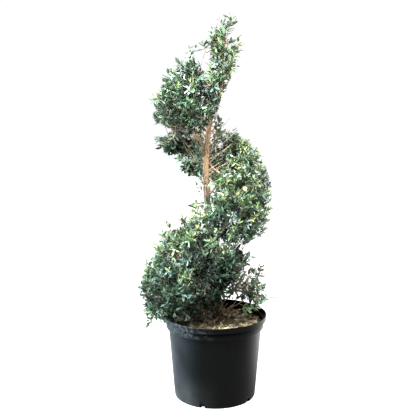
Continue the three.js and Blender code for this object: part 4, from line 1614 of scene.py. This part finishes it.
@dataclass(frozen=True)
class Pot:
    """The nursery pot: a tapered wall, two outward steps, a rolled lip and five drain holes."""

    height: float
    lip_radius: float
    base_radius: float = 181
    body_top_radius: float = 206
    body_top: float = 318
    ring_radius: float = 217.5
    ring_top: float = 350
    wall: float = 3
    foot: float = 9
    drains: int = 5
    drain_radius: float = 12
    drain_height: float = 9
    first_drain: float = -18
    sides: int = 192

    def profile(self) -> Array:
        """Trace the wall, from the middle of its underside round to the middle of its floor.

        Returns:
            One radius and height a row.
        """
        foot, inner, ledge = self.foot, self.wall, self.body_top
        lip, ring = self.lip_radius, self.ring_radius
        heel = self.base_radius - foot
        rows = [(0.0, 0.0), (heel - 14, 0.0), (heel, 0.0)]
        rows += [(heel + foot * math.sin(a), foot - foot * math.cos(a)) for a in (0.4, 0.8, 1.2, 1.57)]
        for share in np.linspace(0.08, 0.98, 14):
            rows.append((mix(self.base_radius, self.body_top_radius, share), mix(foot, ledge, share)))
        # The two outward steps, then the wall of the lip.
        rows += [
            (self.body_top_radius, ledge), (self.body_top_radius + 3, ledge + 1.6),
            (ring - 3, ledge + 3.2), (ring - 0.6, ledge + 4.4), (ring, ledge + 7), (ring + 0.5, ledge + 20),
            (ring + 0.2, self.ring_top - 6), (ring - 1.2, self.ring_top - 1.5), (ring + 1, self.ring_top),
            (lip - 2.5, self.ring_top + 3), (lip - 0.4, self.ring_top + 5), (lip, self.ring_top + 8),
            (lip - 0.6, self.height - 9), (lip - 0.4, self.height - 5),
        ]
        for a in np.linspace(0.1, 1.9, 7):
            rows.append((lip - 3 + 3 * math.cos(a), self.height - 3 + 3 * math.sin(a)))
        rows += [
            (lip - inner - 2, self.height - 5), (lip - inner - 1, self.ring_top + 6),
            (ring - inner, self.ring_top - 1), (ring - inner, ledge + 6),
            (self.body_top_radius - inner, ledge),
            (self.base_radius - inner, inner + 1), (self.base_radius - inner - 4, inner), (0.0, inner),
        ]
        return np.array(rows)

    def build(self, material: Material) -> Piece:
        """Turn the wall, ripple it slightly as moulded plastic sags, and cut its drain holes.

        Args:
            material: the plastic.

        Returns:
            The pot.
        """
        profile = self.profile()
        ring = profile[1:-1]
        angles = np.arange(self.sides) / self.sides * TURN
        sag = 1 + 0.0022 * np.sin(2 * angles + 0.7) + 0.0012 * np.sin(5 * angles)
        radii = ring[:, :1] * (1 + (sag[None] - 1) * np.clip(ring[:, 1:] / self.height, 0, 1))
        vertices = np.stack(
            [radii * np.cos(angles), radii * np.sin(angles), np.broadcast_to(ring[:, 1:], radii.shape)], -1
        ).reshape(-1, 3)
        vertices = np.vstack([vertices, [[0, 0, 0], [0, 0, self.wall]]])
        pile = MeshPile()
        pile.add(vertices, capped_rings(len(ring), self.sides))
        pot = pile.make("pot_shell", [material], 35)
        self.cut_drains(pot)
        return pot

    def cut_drains(self, pot: Piece) -> None:
        """Cut the drain holes at the foot of the wall.

        Args:
            pot: the pot's shell, which is changed.
        """
        pile = MeshPile()
        for i in range(self.drains):
            angle = math.radians(self.first_drain - 90) + i * TURN / self.drains
            out = np.array([math.cos(angle), math.sin(angle), 0])
            reach = np.array([[self.base_radius - 24], [self.base_radius + 16]])
            line = out * reach + UP * self.drain_height
            pile.add(*tube(line, np.full(2, self.drain_radius), 28))
        cutter = pile.make("drain_cutter", [], 35)
        cut = pot.modifiers.new("drains", "BOOLEAN")
        cut.operation, cut.solver, cut.object = "DIFFERENCE", "EXACT", cutter
        bpy.context.view_layer.update()
        graph = bpy.context.evaluated_depsgraph_get()
        finished = bpy.data.meshes.new_from_object(pot.evaluated_get(graph))
        pot.modifiers.clear()
        pot.data = finished
        pot.data.name = pot.name
        bpy.data.objects.remove(cutter)


# ---------------------------------------------------------------------------- compost and litter


class Spread(Enum):
    """Where litter lies on the compost."""

    EVEN = "even"
    FRONT_RIGHT = "front_right"
    LEFT = "left"

    def chance(self, spots: Array) -> Array:
        """Return the chance that a piece lies at each spot.

        Args:
            spots: the spots.

        Returns:
            One chance for each spot.
        """
        toward = smooth_step(0.6 * spots[:, 0] - spots[:, 1], -60, 140)
        chances = {Spread.EVEN: 0.7 + 0 * toward, Spread.FRONT_RIGHT: 0.12 + 0.88 * toward}
        return chances.get(self, 1.02 - 0.9 * toward)


@dataclass(frozen=True)
class Litter:
    """One kind of litter: its pieces' number, length, width and thickness, and their colours."""

    name: str
    count: int
    size: tuple[float, float, float]
    spread: Spread
    colors: tuple
    seed: int
    lift: float = 3


CHIPS = (
    Litter("litter_dark", 460, (15, 6, 3), Spread.LEFT, ((0.05, 0.036, 0.026),), 300),
    Litter("litter_brown", 320, (17, 5, 2.5), Spread.EVEN, ((0.19, 0.125, 0.07),), 301),
    Litter("litter_tan", 360, (21, 5.5, 2.5), Spread.FRONT_RIGHT, ((0.17, 0.13, 0.078),), 302, 10),
    Litter("litter_bark", 46, (40, 13, 4), Spread.FRONT_RIGHT, ((0.20, 0.155, 0.098),), 304, 8),
    Litter("litter_straw", 120, (42, 3.2, 2.4), Spread.FRONT_RIGHT, ((0.37, 0.32, 0.21),), 303, 16),
)
FALLEN = (
    Litter("dry_leaves", 360, (30, 11, 1), Spread.FRONT_RIGHT,
           ((0.12, 0.088, 0.050), (0.30, 0.26, 0.16), (0.05, 0.038, 0.026), (0.17, 0.155, 0.08)), 401, 12),
    Litter("green_leaves", 70, (27, 10, 1), Spread.LEFT,
           ((0.14, 0.22, 0.11), (0.24, 0.31, 0.17), (0.08, 0.12, 0.065)), 402, 6),
    Litter("yellow_leaves", 16, (34, 13, 1), Spread.FRONT_RIGHT,
           ((0.40, 0.42, 0.12), (0.46, 0.40, 0.12)), 403, 16),
)


@dataclass(frozen=True)
class Compost:
    """The pot's fill: a lumpy plug of bark compost, strewn with chips and dry leaves."""

    radius: float
    low_radius: float
    ledge: float
    top: float
    foot: tuple[float, float]
    depth: float = 60
    rings: int = 70
    sides: int = 150

    def height_at(self, points: Array) -> Array:
        """Return the surface's height at points, mounded a little towards the trunk.

        Args:
            points: the points, whose own heights are not read.

        Returns:
            One height for each point.
        """
        flat = np.column_stack([points[:, :2], np.zeros(len(points))])
        lumps = 3.2 * waves(flat, (34, 34, 34), 11) + 2.6 * waves(flat, (11, 11, 11), 12, 2)
        lumps += 1.4 * waves(flat, (4.2, 4.2, 4.2), 13, 2)
        far = np.hypot(points[:, 0] - self.foot[0], points[:, 1] - self.foot[1])
        edge = smooth_step(np.hypot(points[:, 0], points[:, 1]), self.radius - 22, self.radius)
        return self.top - 1 + lumps + 9 * np.exp(-((far / 55) ** 2)) - 7 * edge

    def build(self, material: Material) -> Piece:
        """Build the plug.

        Args:
            material: the compost.

        Returns:
            The plug.
        """
        radii = np.linspace(0, 1, self.rings + 1)[1:] ** 0.8 * self.radius
        angles = np.arange(self.sides) / self.sides * TURN
        top = np.stack([np.outer(radii, np.cos(angles)), np.outer(radii, np.sin(angles))], -1)
        top = np.column_stack([top.reshape(-1, 2), np.zeros(top[..., 0].size)])
        top[:, 2] = self.height_at(top)
        rim = np.column_stack([np.cos(angles), np.sin(angles), np.zeros(self.sides)])
        skirt = np.vstack([
            rim * self.radius + UP * (self.ledge + 6), rim * self.low_radius + UP * self.ledge,
            rim * (self.low_radius - 3) + UP * (self.top - self.depth),
        ])
        middle = np.array([[0.0, 0.0, 0.0], [0.0, 0.0, self.top - self.depth]])
        middle[0, 2] = self.height_at(middle[:1])[0]
        pile = MeshPile()
        pile.add(np.vstack([top, skirt, middle]), capped_rings(self.rings + 3, self.sides, inward=True))
        return pile.make("compost_bed", [material], 60)

    def scatter(self, count: int, spread: Spread, random: Random) -> Array:
        """Draw spots on the surface where a spread allows them.

        Args:
            count: how many to draw.
            spread: where they lie.
            random: the stream of draws.

        Returns:
            The spots.
        """
        tries = 12 * count
        radius = (self.radius - 12) * np.sqrt(random.random(tries))
        angle = TURN * random.random(tries)
        spots = np.column_stack([radius * np.cos(angle), radius * np.sin(angle), np.zeros(tries)])
        spots = spots[random.random(tries) < spread.chance(spots)][:count]
        spots[:, 2] = self.height_at(spots)
        return spots

    def within(self, points: Array) -> Array:
        """Tell whether all of a piece's points, or of each piece's, lie inside the pot's wall."""
        return (np.hypot(points[..., 0], points[..., 1]) < self.radius - 3).all(axis=-1)

    def chips(self, litter: Litter) -> Piece:
        """Strew rough wedge-shaped chips or sticks.

        Args:
            litter: what they are like.

        Returns:
            The chips as one piece.
        """
        random = np.random.default_rng(litter.seed)
        pile = MeshPile()
        box = np.array([[x, y, z] for z in (-1, 1) for y in (-1, 1) for x in (-1, 1)], float) / 2
        faces = [(0, 2, 3, 1), (4, 5, 7, 6), (0, 1, 5, 4), (2, 6, 7, 3), (0, 4, 6, 2), (1, 3, 7, 5)]
        for spot in self.scatter(litter.count, litter.spread, random):
            shape = box * np.array(litter.size) * (0.5 + random.random(3))
            shape = shape * (0.75 + 0.5 * random.random((8, 1)))
            along = unit(np.array([*random.normal(size=2), 0.25 * random.normal()]))
            across = unit(np.cross([0, 0, 1], along) + UP * 0.3 * random.normal())
            over = np.cross(along, across)
            lift = UP * (litter.size[2] * 0.5 + litter.lift * random.random())
            corners = spot + lift + shape @ np.array([along, across, over])
            if self.within(corners):
                pile.add(corners, [faces])
        finish = LitterFinish(litter.name, litter.colors[0]).build()
        return pile.make(litter.name, [finish], 20)

    def fallen(self, litter: Litter) -> Piece:
        """Strew fallen leaves that lie nearly flat.

        Args:
            litter: what they are like.

        Returns:
            The leaves as one piece.
        """
        random = np.random.default_rng(litter.seed)
        roots = self.scatter(litter.count, litter.spread, random)
        count = len(roots)
        roots += UP * (3.5 + litter.lift * random.random((count, 1)))
        along = unit(np.column_stack([random.normal(size=(count, 2)), 0.22 * random.normal(size=count)]))
        lengths = litter.size[0] * (0.6 + 0.7 * random.random(count))
        vertices = LeafShape(fold=0.1, thickness=0.5).place(
            roots=roots - along * lengths[:, None] / 2,
            along=along,
            normals=UP + 0.45 * random.normal(size=(count, 3)),
            sizes=np.stack([lengths, np.full(count, litter.size[1] / litter.size[0]),
                            random.normal(size=count) * 0.18], -1),
        )
        vertices = vertices[self.within(vertices)]
        finishes = [
            LitterFinish(f"{litter.name}_{i}", color).build() for i, color in enumerate(litter.colors)
        ]
        shades = random.integers(0, len(finishes), len(vertices))
        return leaf_piece(litter.name, vertices, shades, finishes)


def leaf_piece(
    name: str, vertices: Array, shades: Array, materials: Sequence[Material],
    under: Optional[int] = None,
) -> Piece:
    """Join placed leaves into one piece.

    Args:
        name: the piece's name.
        vertices: the leaves' vertices, of shape (leaves, corners, 3).
        shades: each leaf's material slot.
        materials: the material slots.
        under: the slot of all lower faces, or None for each leaf's own.

    Returns:
        The piece.
    """
    count = len(vertices)
    starts = (np.arange(count) * vertices.shape[1])[:, None, None]
    groups, slots = [], []
    for faces in LeafShape().faces():
        groups.append((faces[None] + starts).reshape(-1, faces.shape[1]))
        upper = np.arange(len(faces)) < len(faces) // 2
        own = np.repeat(shades[:, None], len(faces), 1)
        slots.append((own if under is None else np.where(upper[None], own, under)).ravel())
    pile = MeshPile()
    pile.add(vertices.reshape(-1, 3), groups, np.concatenate(slots))
    return pile.make(name, materials, 60)


# ---------------------------------------------------------------------------- wood


@dataclass(frozen=True)
class Wood:
    """The trunk and boughs with the relief of their bark, and the twigs."""

    trunk: TrunkLine
    soil_top: float
    sides: int = 60
    rows: int = 420
    bough_sides: int = 14
    spring_width: float = 13
    spring_swell: float = 3.2

    def relief(self, points: Array, angles: Array, scale: float) -> Array:
        """Return how far the bark stands out at points, in fibrous ridges along the limb.

        Args:
            points: the points of the plain limb.
            angles: where each lies round the limb.
            scale: the depth of the ridges.

        Returns:
            One height for each point.
        """
        round_ = np.stack([26 * np.cos(angles), 26 * np.sin(angles), points[:, 2] * 0.085], -1)
        ridges = waves(round_, (9, 9, 9), 21, 3)
        plates = waves(round_ * [1, 1, 2.4], (22, 22, 22), 22, 2)
        return scale * (1.1 * ridges + 0.9 * plates - 0.6 * np.abs(waves(round_, (6, 6, 4), 23, 2)))

    def build_trunk(self, springs: Array, material: Material) -> Piece:
        """Build the trunk, swollen where boughs spring from it.

        Args:
            springs: where the boughs leave the trunk, each with the way it leaves.
            material: the bark.

        Returns:
            The trunk.
        """
        line = self.trunk.stations(self.rows)
        line = line[line[:, 2] > self.soil_top - 8]
        radii = self.trunk.radius(line[:, 2])
        vertices, faces = tube(line, radii, self.sides)
        axis = np.repeat(line, self.sides, axis=0)
        out = unit(vertices - axis)
        angles = np.tile(np.arange(self.sides) / self.sides * TURN, len(line))
        thick = np.repeat(radii, self.sides)
        push = self.relief(vertices, angles, 1.5) * np.clip(thick / 16, 0.25, 1.2)
        foot = np.exp(-(vertices[:, 2] - self.soil_top) / 26)
        push += 3.5 * foot * (0.35 + np.cos(3 * angles + 0.8) * 0.6 + 0.3 * np.cos(5 * angles))
        for place, heading in springs:
            away = np.linalg.norm(vertices - place - heading * thick[:, None] * 0.6, axis=1)
            near = np.exp(-((away / self.spring_width) ** 2))
            push += self.spring_swell * near * np.clip(out @ heading + 0.3, 0, 1.3)
        pile = MeshPile()
        pile.add(vertices + out * push[:, None], faces)
        return pile.make("trunk_bark", [material], 70)

    def build_boughs(
        self, name: str, boughs: Sequence[Limb], material: Material
    ) -> Piece:
        """Build boughs with bark relief and a swollen root.

        Args:
            name: the piece's name.
            boughs: the boughs.
            material: the bark.

        Returns:
            The boughs as one piece.
        """
        pile = MeshPile()
        sides = self.bough_sides
        for i, bough in enumerate(boughs):
            rows = max(16, int(bough.length / 5))
            share, even = np.linspace(0, 1, len(bough.line)), np.linspace(0, 1, rows)
            line = np.stack([np.interp(even, share, bough.line[:, k]) for k in range(3)], -1)
            radii = np.linspace(bough.root, bough.tip, rows)
            steps = np.linspace(0, bough.length, rows)
            radii = radii * (1 + 0.45 * np.exp(-steps / 22)) * (1 + 0.05 * np.sin(steps / 9 + i))
            bend = np.stack([waves(line, (60, 60, 60), 31 + k, 2) for k in range(3)], -1)
            hold = np.sin(np.linspace(0, math.pi, rows))[:, None]
            line = line + bend * 3.0 * hold
            angles = np.arange(sides) / sides * TURN
            around = [np.tile(wave(angles) * 9, rows) for wave in (np.cos, np.sin)]
            wrapped = np.stack([*around, np.repeat(steps * 0.12 + 40 * i, sides)], -1)
            ridge = waves(wrapped, (5, 5, 5), 41, 3).reshape(rows, sides)
            pile.add(*tube(line, radii[:, None] * (1 + 0.1 * ridge), sides))
        return pile.make(name, [material], 70)

    def build_twigs(
        self, name: str, limbs: Sequence[Limb], sides: int, material: Material
    ) -> Piece:
        """Build many thin limbs as one piece.

        Args:
            name: the piece's name.
            limbs: the limbs.
            sides: how many sides each has.
            material: the bark.

        Returns:
            The limbs as one piece.
        """
        pile = MeshPile()
        for limb in limbs:
            pile.add(*tube(limb.line, limb.radii(), sides))
        return pile.make(name, [material], 80)


# ---------------------------------------------------------------------------- the whole plant


TONES = {
    # Painted shade: the near-black tone of sprays deepest in shadow.
    Tone.DEEP: (0.007, 0.016, 0.012),
    Tone.DARK: (0.027, 0.060, 0.034),
    Tone.MID: (0.066, 0.142, 0.060),
    Tone.BLUE: (0.078, 0.150, 0.117),
    Tone.OLIVE: (0.140, 0.192, 0.086),
    Tone.FRESH: (0.190, 0.290, 0.110),
    Tone.LIME: (0.330, 0.420, 0.120),
    # Painted glint: pale bluish-white leaves stand for glossy leaves catching the light.
    Tone.SILVER: (0.250, 0.310, 0.284),
    Tone.OLD: (0.270, 0.200, 0.095),
}


@dataclass
class Topiary:
    """The plant: trunk, boughs, twigs and leaves."""

    band: Band
    masses: list[Mass]
    wood: Wood
    foliage: Foliage
    blossom_place: tuple = (117, -224, 973)
    blossom_petals: int = 9
    leaf_shades: tuple = (0.76, 1.0, 1.3)

    def nodes(self, start: str) -> list[str]:
        """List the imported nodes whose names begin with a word."""
        return sorted(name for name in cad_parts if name.startswith(start))

    def build_wood(self) -> list[Piece]:
        """Build the trunk and boughs.

        Returns:
            The pieces.
        """
        rule = self.foliage.boughs
        mains = [rule.main(mass) for mass in self.masses]
        grooves = rule.across_groove(self.masses)
        stub = self.stub()
        springs = [(limb.line[0], unit(limb.line[3] - limb.line[0])) for limb in mains + grooves + [stub]]
        bark = BarkFinish("old_bark").build()
        # The pale bark's lower tone is its brighter one, painted light on the stub near the foot, which
        # lies in the foliage's shade.
        pale = BarkFinish("pale_bark", (0.66, 0.49, 0.31), (0.90, 0.72, 0.50), (0.26, 0.18, 0.11)).build()
        trunk = self.wood.build_trunk(springs, bark)
        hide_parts("trunk")
        boughs = self.wood.build_boughs("boughs_main", mains, bark)
        groove_names = self.nodes("bough_groove")
        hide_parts(*[name for name in self.nodes("bough") if name not in groove_names])
        bare = self.wood.build_boughs("boughs_bare", grooves + [stub], pale)
        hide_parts(*groove_names, "pruned_stub")
        return [trunk, boughs, bare]

    def stub(self) -> Limb:
        """Return the bare stub of a bough cut off near the foot.

        Returns:
            The stub.
        """
        turn, height, length, rise, radius = 0.965, 352, 98, 34, 3.6
        start = self.band.trunk.at(height)[0]
        run = np.array([math.cos(turn * TURN), math.sin(turn * TURN), 0]) * length
        return Limb(self.foliage.boughs.line(height, start + run + UP * rise), radius, radius)

    def grow_loose(self) -> list[Limb]:
        """Grow the sprigs that stand clear of the outline, and the fans of thin twigs by the trunk.

        Returns:
            The fans' twigs.
        """
        random = np.random.default_rng(4021)
        foliage = self.foliage
        for row in SPRIGS:
            sprig = LooseSprig(*row)
            limb = sprig.limb()
            foliage.shoots.append(limb)
            rule = SprayRule(side_shoots=sprig.side_shoots, side_length=34, pair_gap=11, leaf_length=32)
            rule.spray(limb, sprig.leafy, tones_of(sprig.tones), foliage.crop, foliage.shoots, random)
        sparse = SprayRule(pair_gap=13, leaf_length=22, young_length=15)
        twigs = []
        for fan in FANS:
            for limb in fan.limbs(self.band.trunk):
                twigs.append(limb)
                if random.random() < fan.leafy_share:
                    sparse.pairs(limb, 44, (Tone.BLUE, Tone.OLIVE), foliage.crop, random)
        return twigs

    def build_leaves(self) -> list[Piece]:
        """Build the leaves, each tone as one piece.

        Returns:
            The pieces.
        """
        crop = self.foliage.crop.gathered()
        tones = crop.pop("tones")
        vertices = LeafShape().place(**crop)
        under = LeafFinish("leaf_underside", (0.135, 0.170, 0.120), 0.55, 0.35).build()
        random = np.random.default_rng(77)
        pieces = []
        for tone, color in TONES.items():
            chosen = vertices[tones == int(tone)]
            word = tone.name.lower()
            gloss = 0.5 if tone > Tone.DARK else 0.2
            shades = []
            for i, share in enumerate(self.leaf_shades):
                shade = tuple(part * share for part in color)
                shades.append(LeafFinish(f"leaf_{word}_{i}", shade, specular=gloss).build())
            dealt = random.integers(0, len(shades), len(chosen))
            piece = leaf_piece(f"leaves_{word}", chosen, dealt, [*shades, under], len(shades))
            pieces.append(piece)
            log.info("%s holds %d leaves", piece.name, len(chosen))
        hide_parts(*self.nodes("foliage"))
        return pieces

    def build_twigs(self, fans: Sequence[Limb]) -> list[Piece]:
        """Build the twigs and shoots.

        Args:
            fans: the thin twigs by the trunk.

        Returns:
            The pieces.
        """
        kinds = (
            ("twigs", self.foliage.twigs, 6, (0.21, 0.145, 0.095)),
            ("shoots", self.foliage.shoots, 3, (0.30, 0.23, 0.14)),
            ("fan_twigs", fans, 6, (0.58, 0.46, 0.31)),
        )
        pieces = []
        for name, limbs, sides, color in kinds:
            bark = TwigFinish(f"{name}_bark", color).build()
            piece = self.wood.build_twigs(name, limbs, sides, bark)
            pieces.append(piece)
        return pieces

    def build_blossom(self) -> Piece:
        """Build the one cream blossom that the coil bears.

        Returns:
            The blossom.
        """
        petals = self.blossom_petals
        angles = np.arange(petals) / petals * TURN
        facing = unit(np.array([0.35, -1.0, 0.45]))
        side = unit(np.cross(facing, UP))
        around = np.outer(np.cos(angles), side) + np.outer(np.sin(angles), np.cross(side, facing))
        sizes = np.tile([10.5, 0.62, 0.1], (petals, 1))
        vertices = LeafShape().place(
            np.tile(self.blossom_place, (petals, 1)) + around * 1.5, around + facing * 0.55,
            facing - around * 0.5, sizes,
        )
        cream = LeafFinish("cream_petal", (0.35, 0.37, 0.23), 0.7, 0.2).build()
        piece = leaf_piece("blossom", vertices, np.zeros(petals, int), [cream])
        return piece

    def build(self) -> list[Piece]:
        """Build the whole plant.

        Returns:
            The pieces.
        """
        pieces = self.build_wood()
        self.foliage.grow()
        fans = self.grow_loose()
        return [*pieces, *self.build_leaves(), *self.build_twigs(fans), self.build_blossom()]


# ---------------------------------------------------------------------------- stage


@dataclass(frozen=True)
class Studio:
    """A pale floor, a white surround, soft lights and the camera."""

    camera_place: tuple = (-0.031, -3.5, 1.47)
    camera_pitch: float = 10
    lens: float = 70.53
    sensor: float = 36
    floor_color: tuple = (0.3, 0.3, 0.3)
    floor_half: float = 9000
    glow: float = 3.0
    aim: tuple = (0, 0, 0.95)
    # Each lamp: its name, place, size, power and colour.
    lamps: tuple = (
        ("overhead", (-0.6, -1.6, 3.7), 1.2, 560, (1.0, 0.99, 0.96)),
        ("left", (-3.0, -0.3, 1.6), 1.6, 250, (0.84, 0.94, 1.0)),
        ("right", (2.8, 0.9, 1.7), 1.5, 190, (1.0, 0.98, 0.94)),
        ("sheen", (-2.4, 1.0, 0.35), 1.0, 120, (0.74, 0.90, 1.0)),
    )

    def seen(self, graph: Graph, other: Socket, shown: float) -> Socket:
        """Return one number where the camera sees a thing itself, and another for all other light."""
        ray = graph.node("LightPath").outputs["Is Camera Ray"]
        return graph.node("Mix", {0: ray, 2: other, 3: shown}).outputs[0]

    def floor(self) -> None:
        """Lay the floor."""
        pile = MeshPile()
        size = self.floor_half
        corners = np.array([[-size, -size, 0], [size, -size, 0], [size, size, 0], [-size, size, 0]], float)
        pile.add(corners, [np.array([[0, 1, 2, 3]])])
        finish = Surface("pale_floor", self.floor_color, 0.9)
        finish.set("Emission Color", (1, 1, 1, 1))
        # A glow on the floor behind the pot's right, which only its glancing reflection shows.
        glow = finish.product(finish.axis_mask("X", 0.2, 0.7), finish.axis_mask("Y", -0.3, 0.4))
        finish.set("Emission Strength", self.seen(finish.graph, finish.span(glow, 0, self.glow), 0.95))
        floor = pile.make("floor", [finish.material])

    def surround(self) -> None:
        """Light the scene from a white surround that is dimmer on the camera's side."""
        world = bpy.data.worlds.new("surround")
        bpy.context.scene.world = world
        world.use_nodes = True
        graph = Graph(world.node_tree)
        sky = graph.place("Generated")
        toward = graph.math("MULTIPLY_ADD", graph.part(sky, "Z"), 0.75, graph.part(sky, "Y"))
        light = graph.ramp(toward, (-0.8, 0.8), (0.04, 1.1), smooth=True)
        back = world.node_tree.nodes["Background"]
        graph.feed(back.inputs["Strength"], self.seen(graph, light, 1.05))
        graph.feed(back.inputs["Color"], (0.97, 0.985, 1.0, 1))

    def light(self, name: str, place: Sequence[float], size: float, power: float,
              color: Sequence[float]) -> None:
        """Hang a soft square light that looks at the plant.

        Args:
            name: its name.
            place: where it hangs.
            size: the length of its side.
            power: its power in watts.
            color: its colour.
        """
        data = bpy.data.lights.new(name, "AREA")
        data.shape, data.size, data.energy, data.color = "SQUARE", size, power, color
        lamp = bpy.data.objects.new(name, data)
        lamp.location = place
        lamp.rotation_mode = "QUATERNION"
        lamp.rotation_quaternion = (Vector(self.aim) - Vector(place)).to_track_quat("-Z", "Y")
        bpy.context.scene.collection.objects.link(lamp)

    def camera(self) -> None:
        """Set up the camera."""
        data = bpy.data.cameras.new("camera")
        data.sensor_width, data.lens = self.sensor, self.lens
        camera = bpy.data.objects.new("camera", data)
        camera.location = self.camera_place
        camera.rotation_euler = (math.radians(90 - self.camera_pitch), 0, 0)
        bpy.context.scene.collection.objects.link(camera)
        bpy.context.scene.camera = camera

    def build(self) -> None:
        """Build the stage."""
        self.camera()
        self.floor()
        self.surround()
        for lamp in self.lamps:
            self.light(*lamp)
        bpy.context.scene.view_settings.view_transform = "Standard"


def main() -> None:
    """Build the stage, the pot with its compost and litter, and the plant."""
    logging.basicConfig(level=logging.INFO, format="%(message)s")
    Studio().build()
    pot_low, pot_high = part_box("pot")
    soil_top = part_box("trunk")[0].z / MM
    pot = Pot(height=pot_high.z / MM, lip_radius=(pot_high.x - pot_low.x) / 2 / MM)
    shell = pot.build(PotFinish().build())
    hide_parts("pot")

    trunk = TrunkLine()
    foot = trunk.at(np.array([soil_top]))[0]
    compost = Compost(
        radius=pot.ring_radius - pot.wall - 1, low_radius=pot.body_top_radius - pot.wall - 2,
        ledge=pot.body_top, top=soil_top, foot=(foot[0], foot[1]),
    )
    bed = compost.build(CompostFinish().build())
    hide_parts("compost")
    fill = [bed, *[compost.chips(kind) for kind in CHIPS], *[compost.fallen(kind) for kind in FALLEN]]
    pieces = [shell, *fill]

    band = Band(trunk)
    masses = all_masses()
    rule = BoughRule(band, soil_top=337)
    foliage = Foliage(band, rule, masses, pot.lip_radius, pot.height)
    plant = Topiary(band, masses, Wood(trunk, soil_top), foliage)
    pieces += plant.build()
    for piece in pieces:
        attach(piece, "root")
        log.info("%s: %d faces", piece.name, len(piece.data.polygons))


if __name__ == "__main__":
    main()
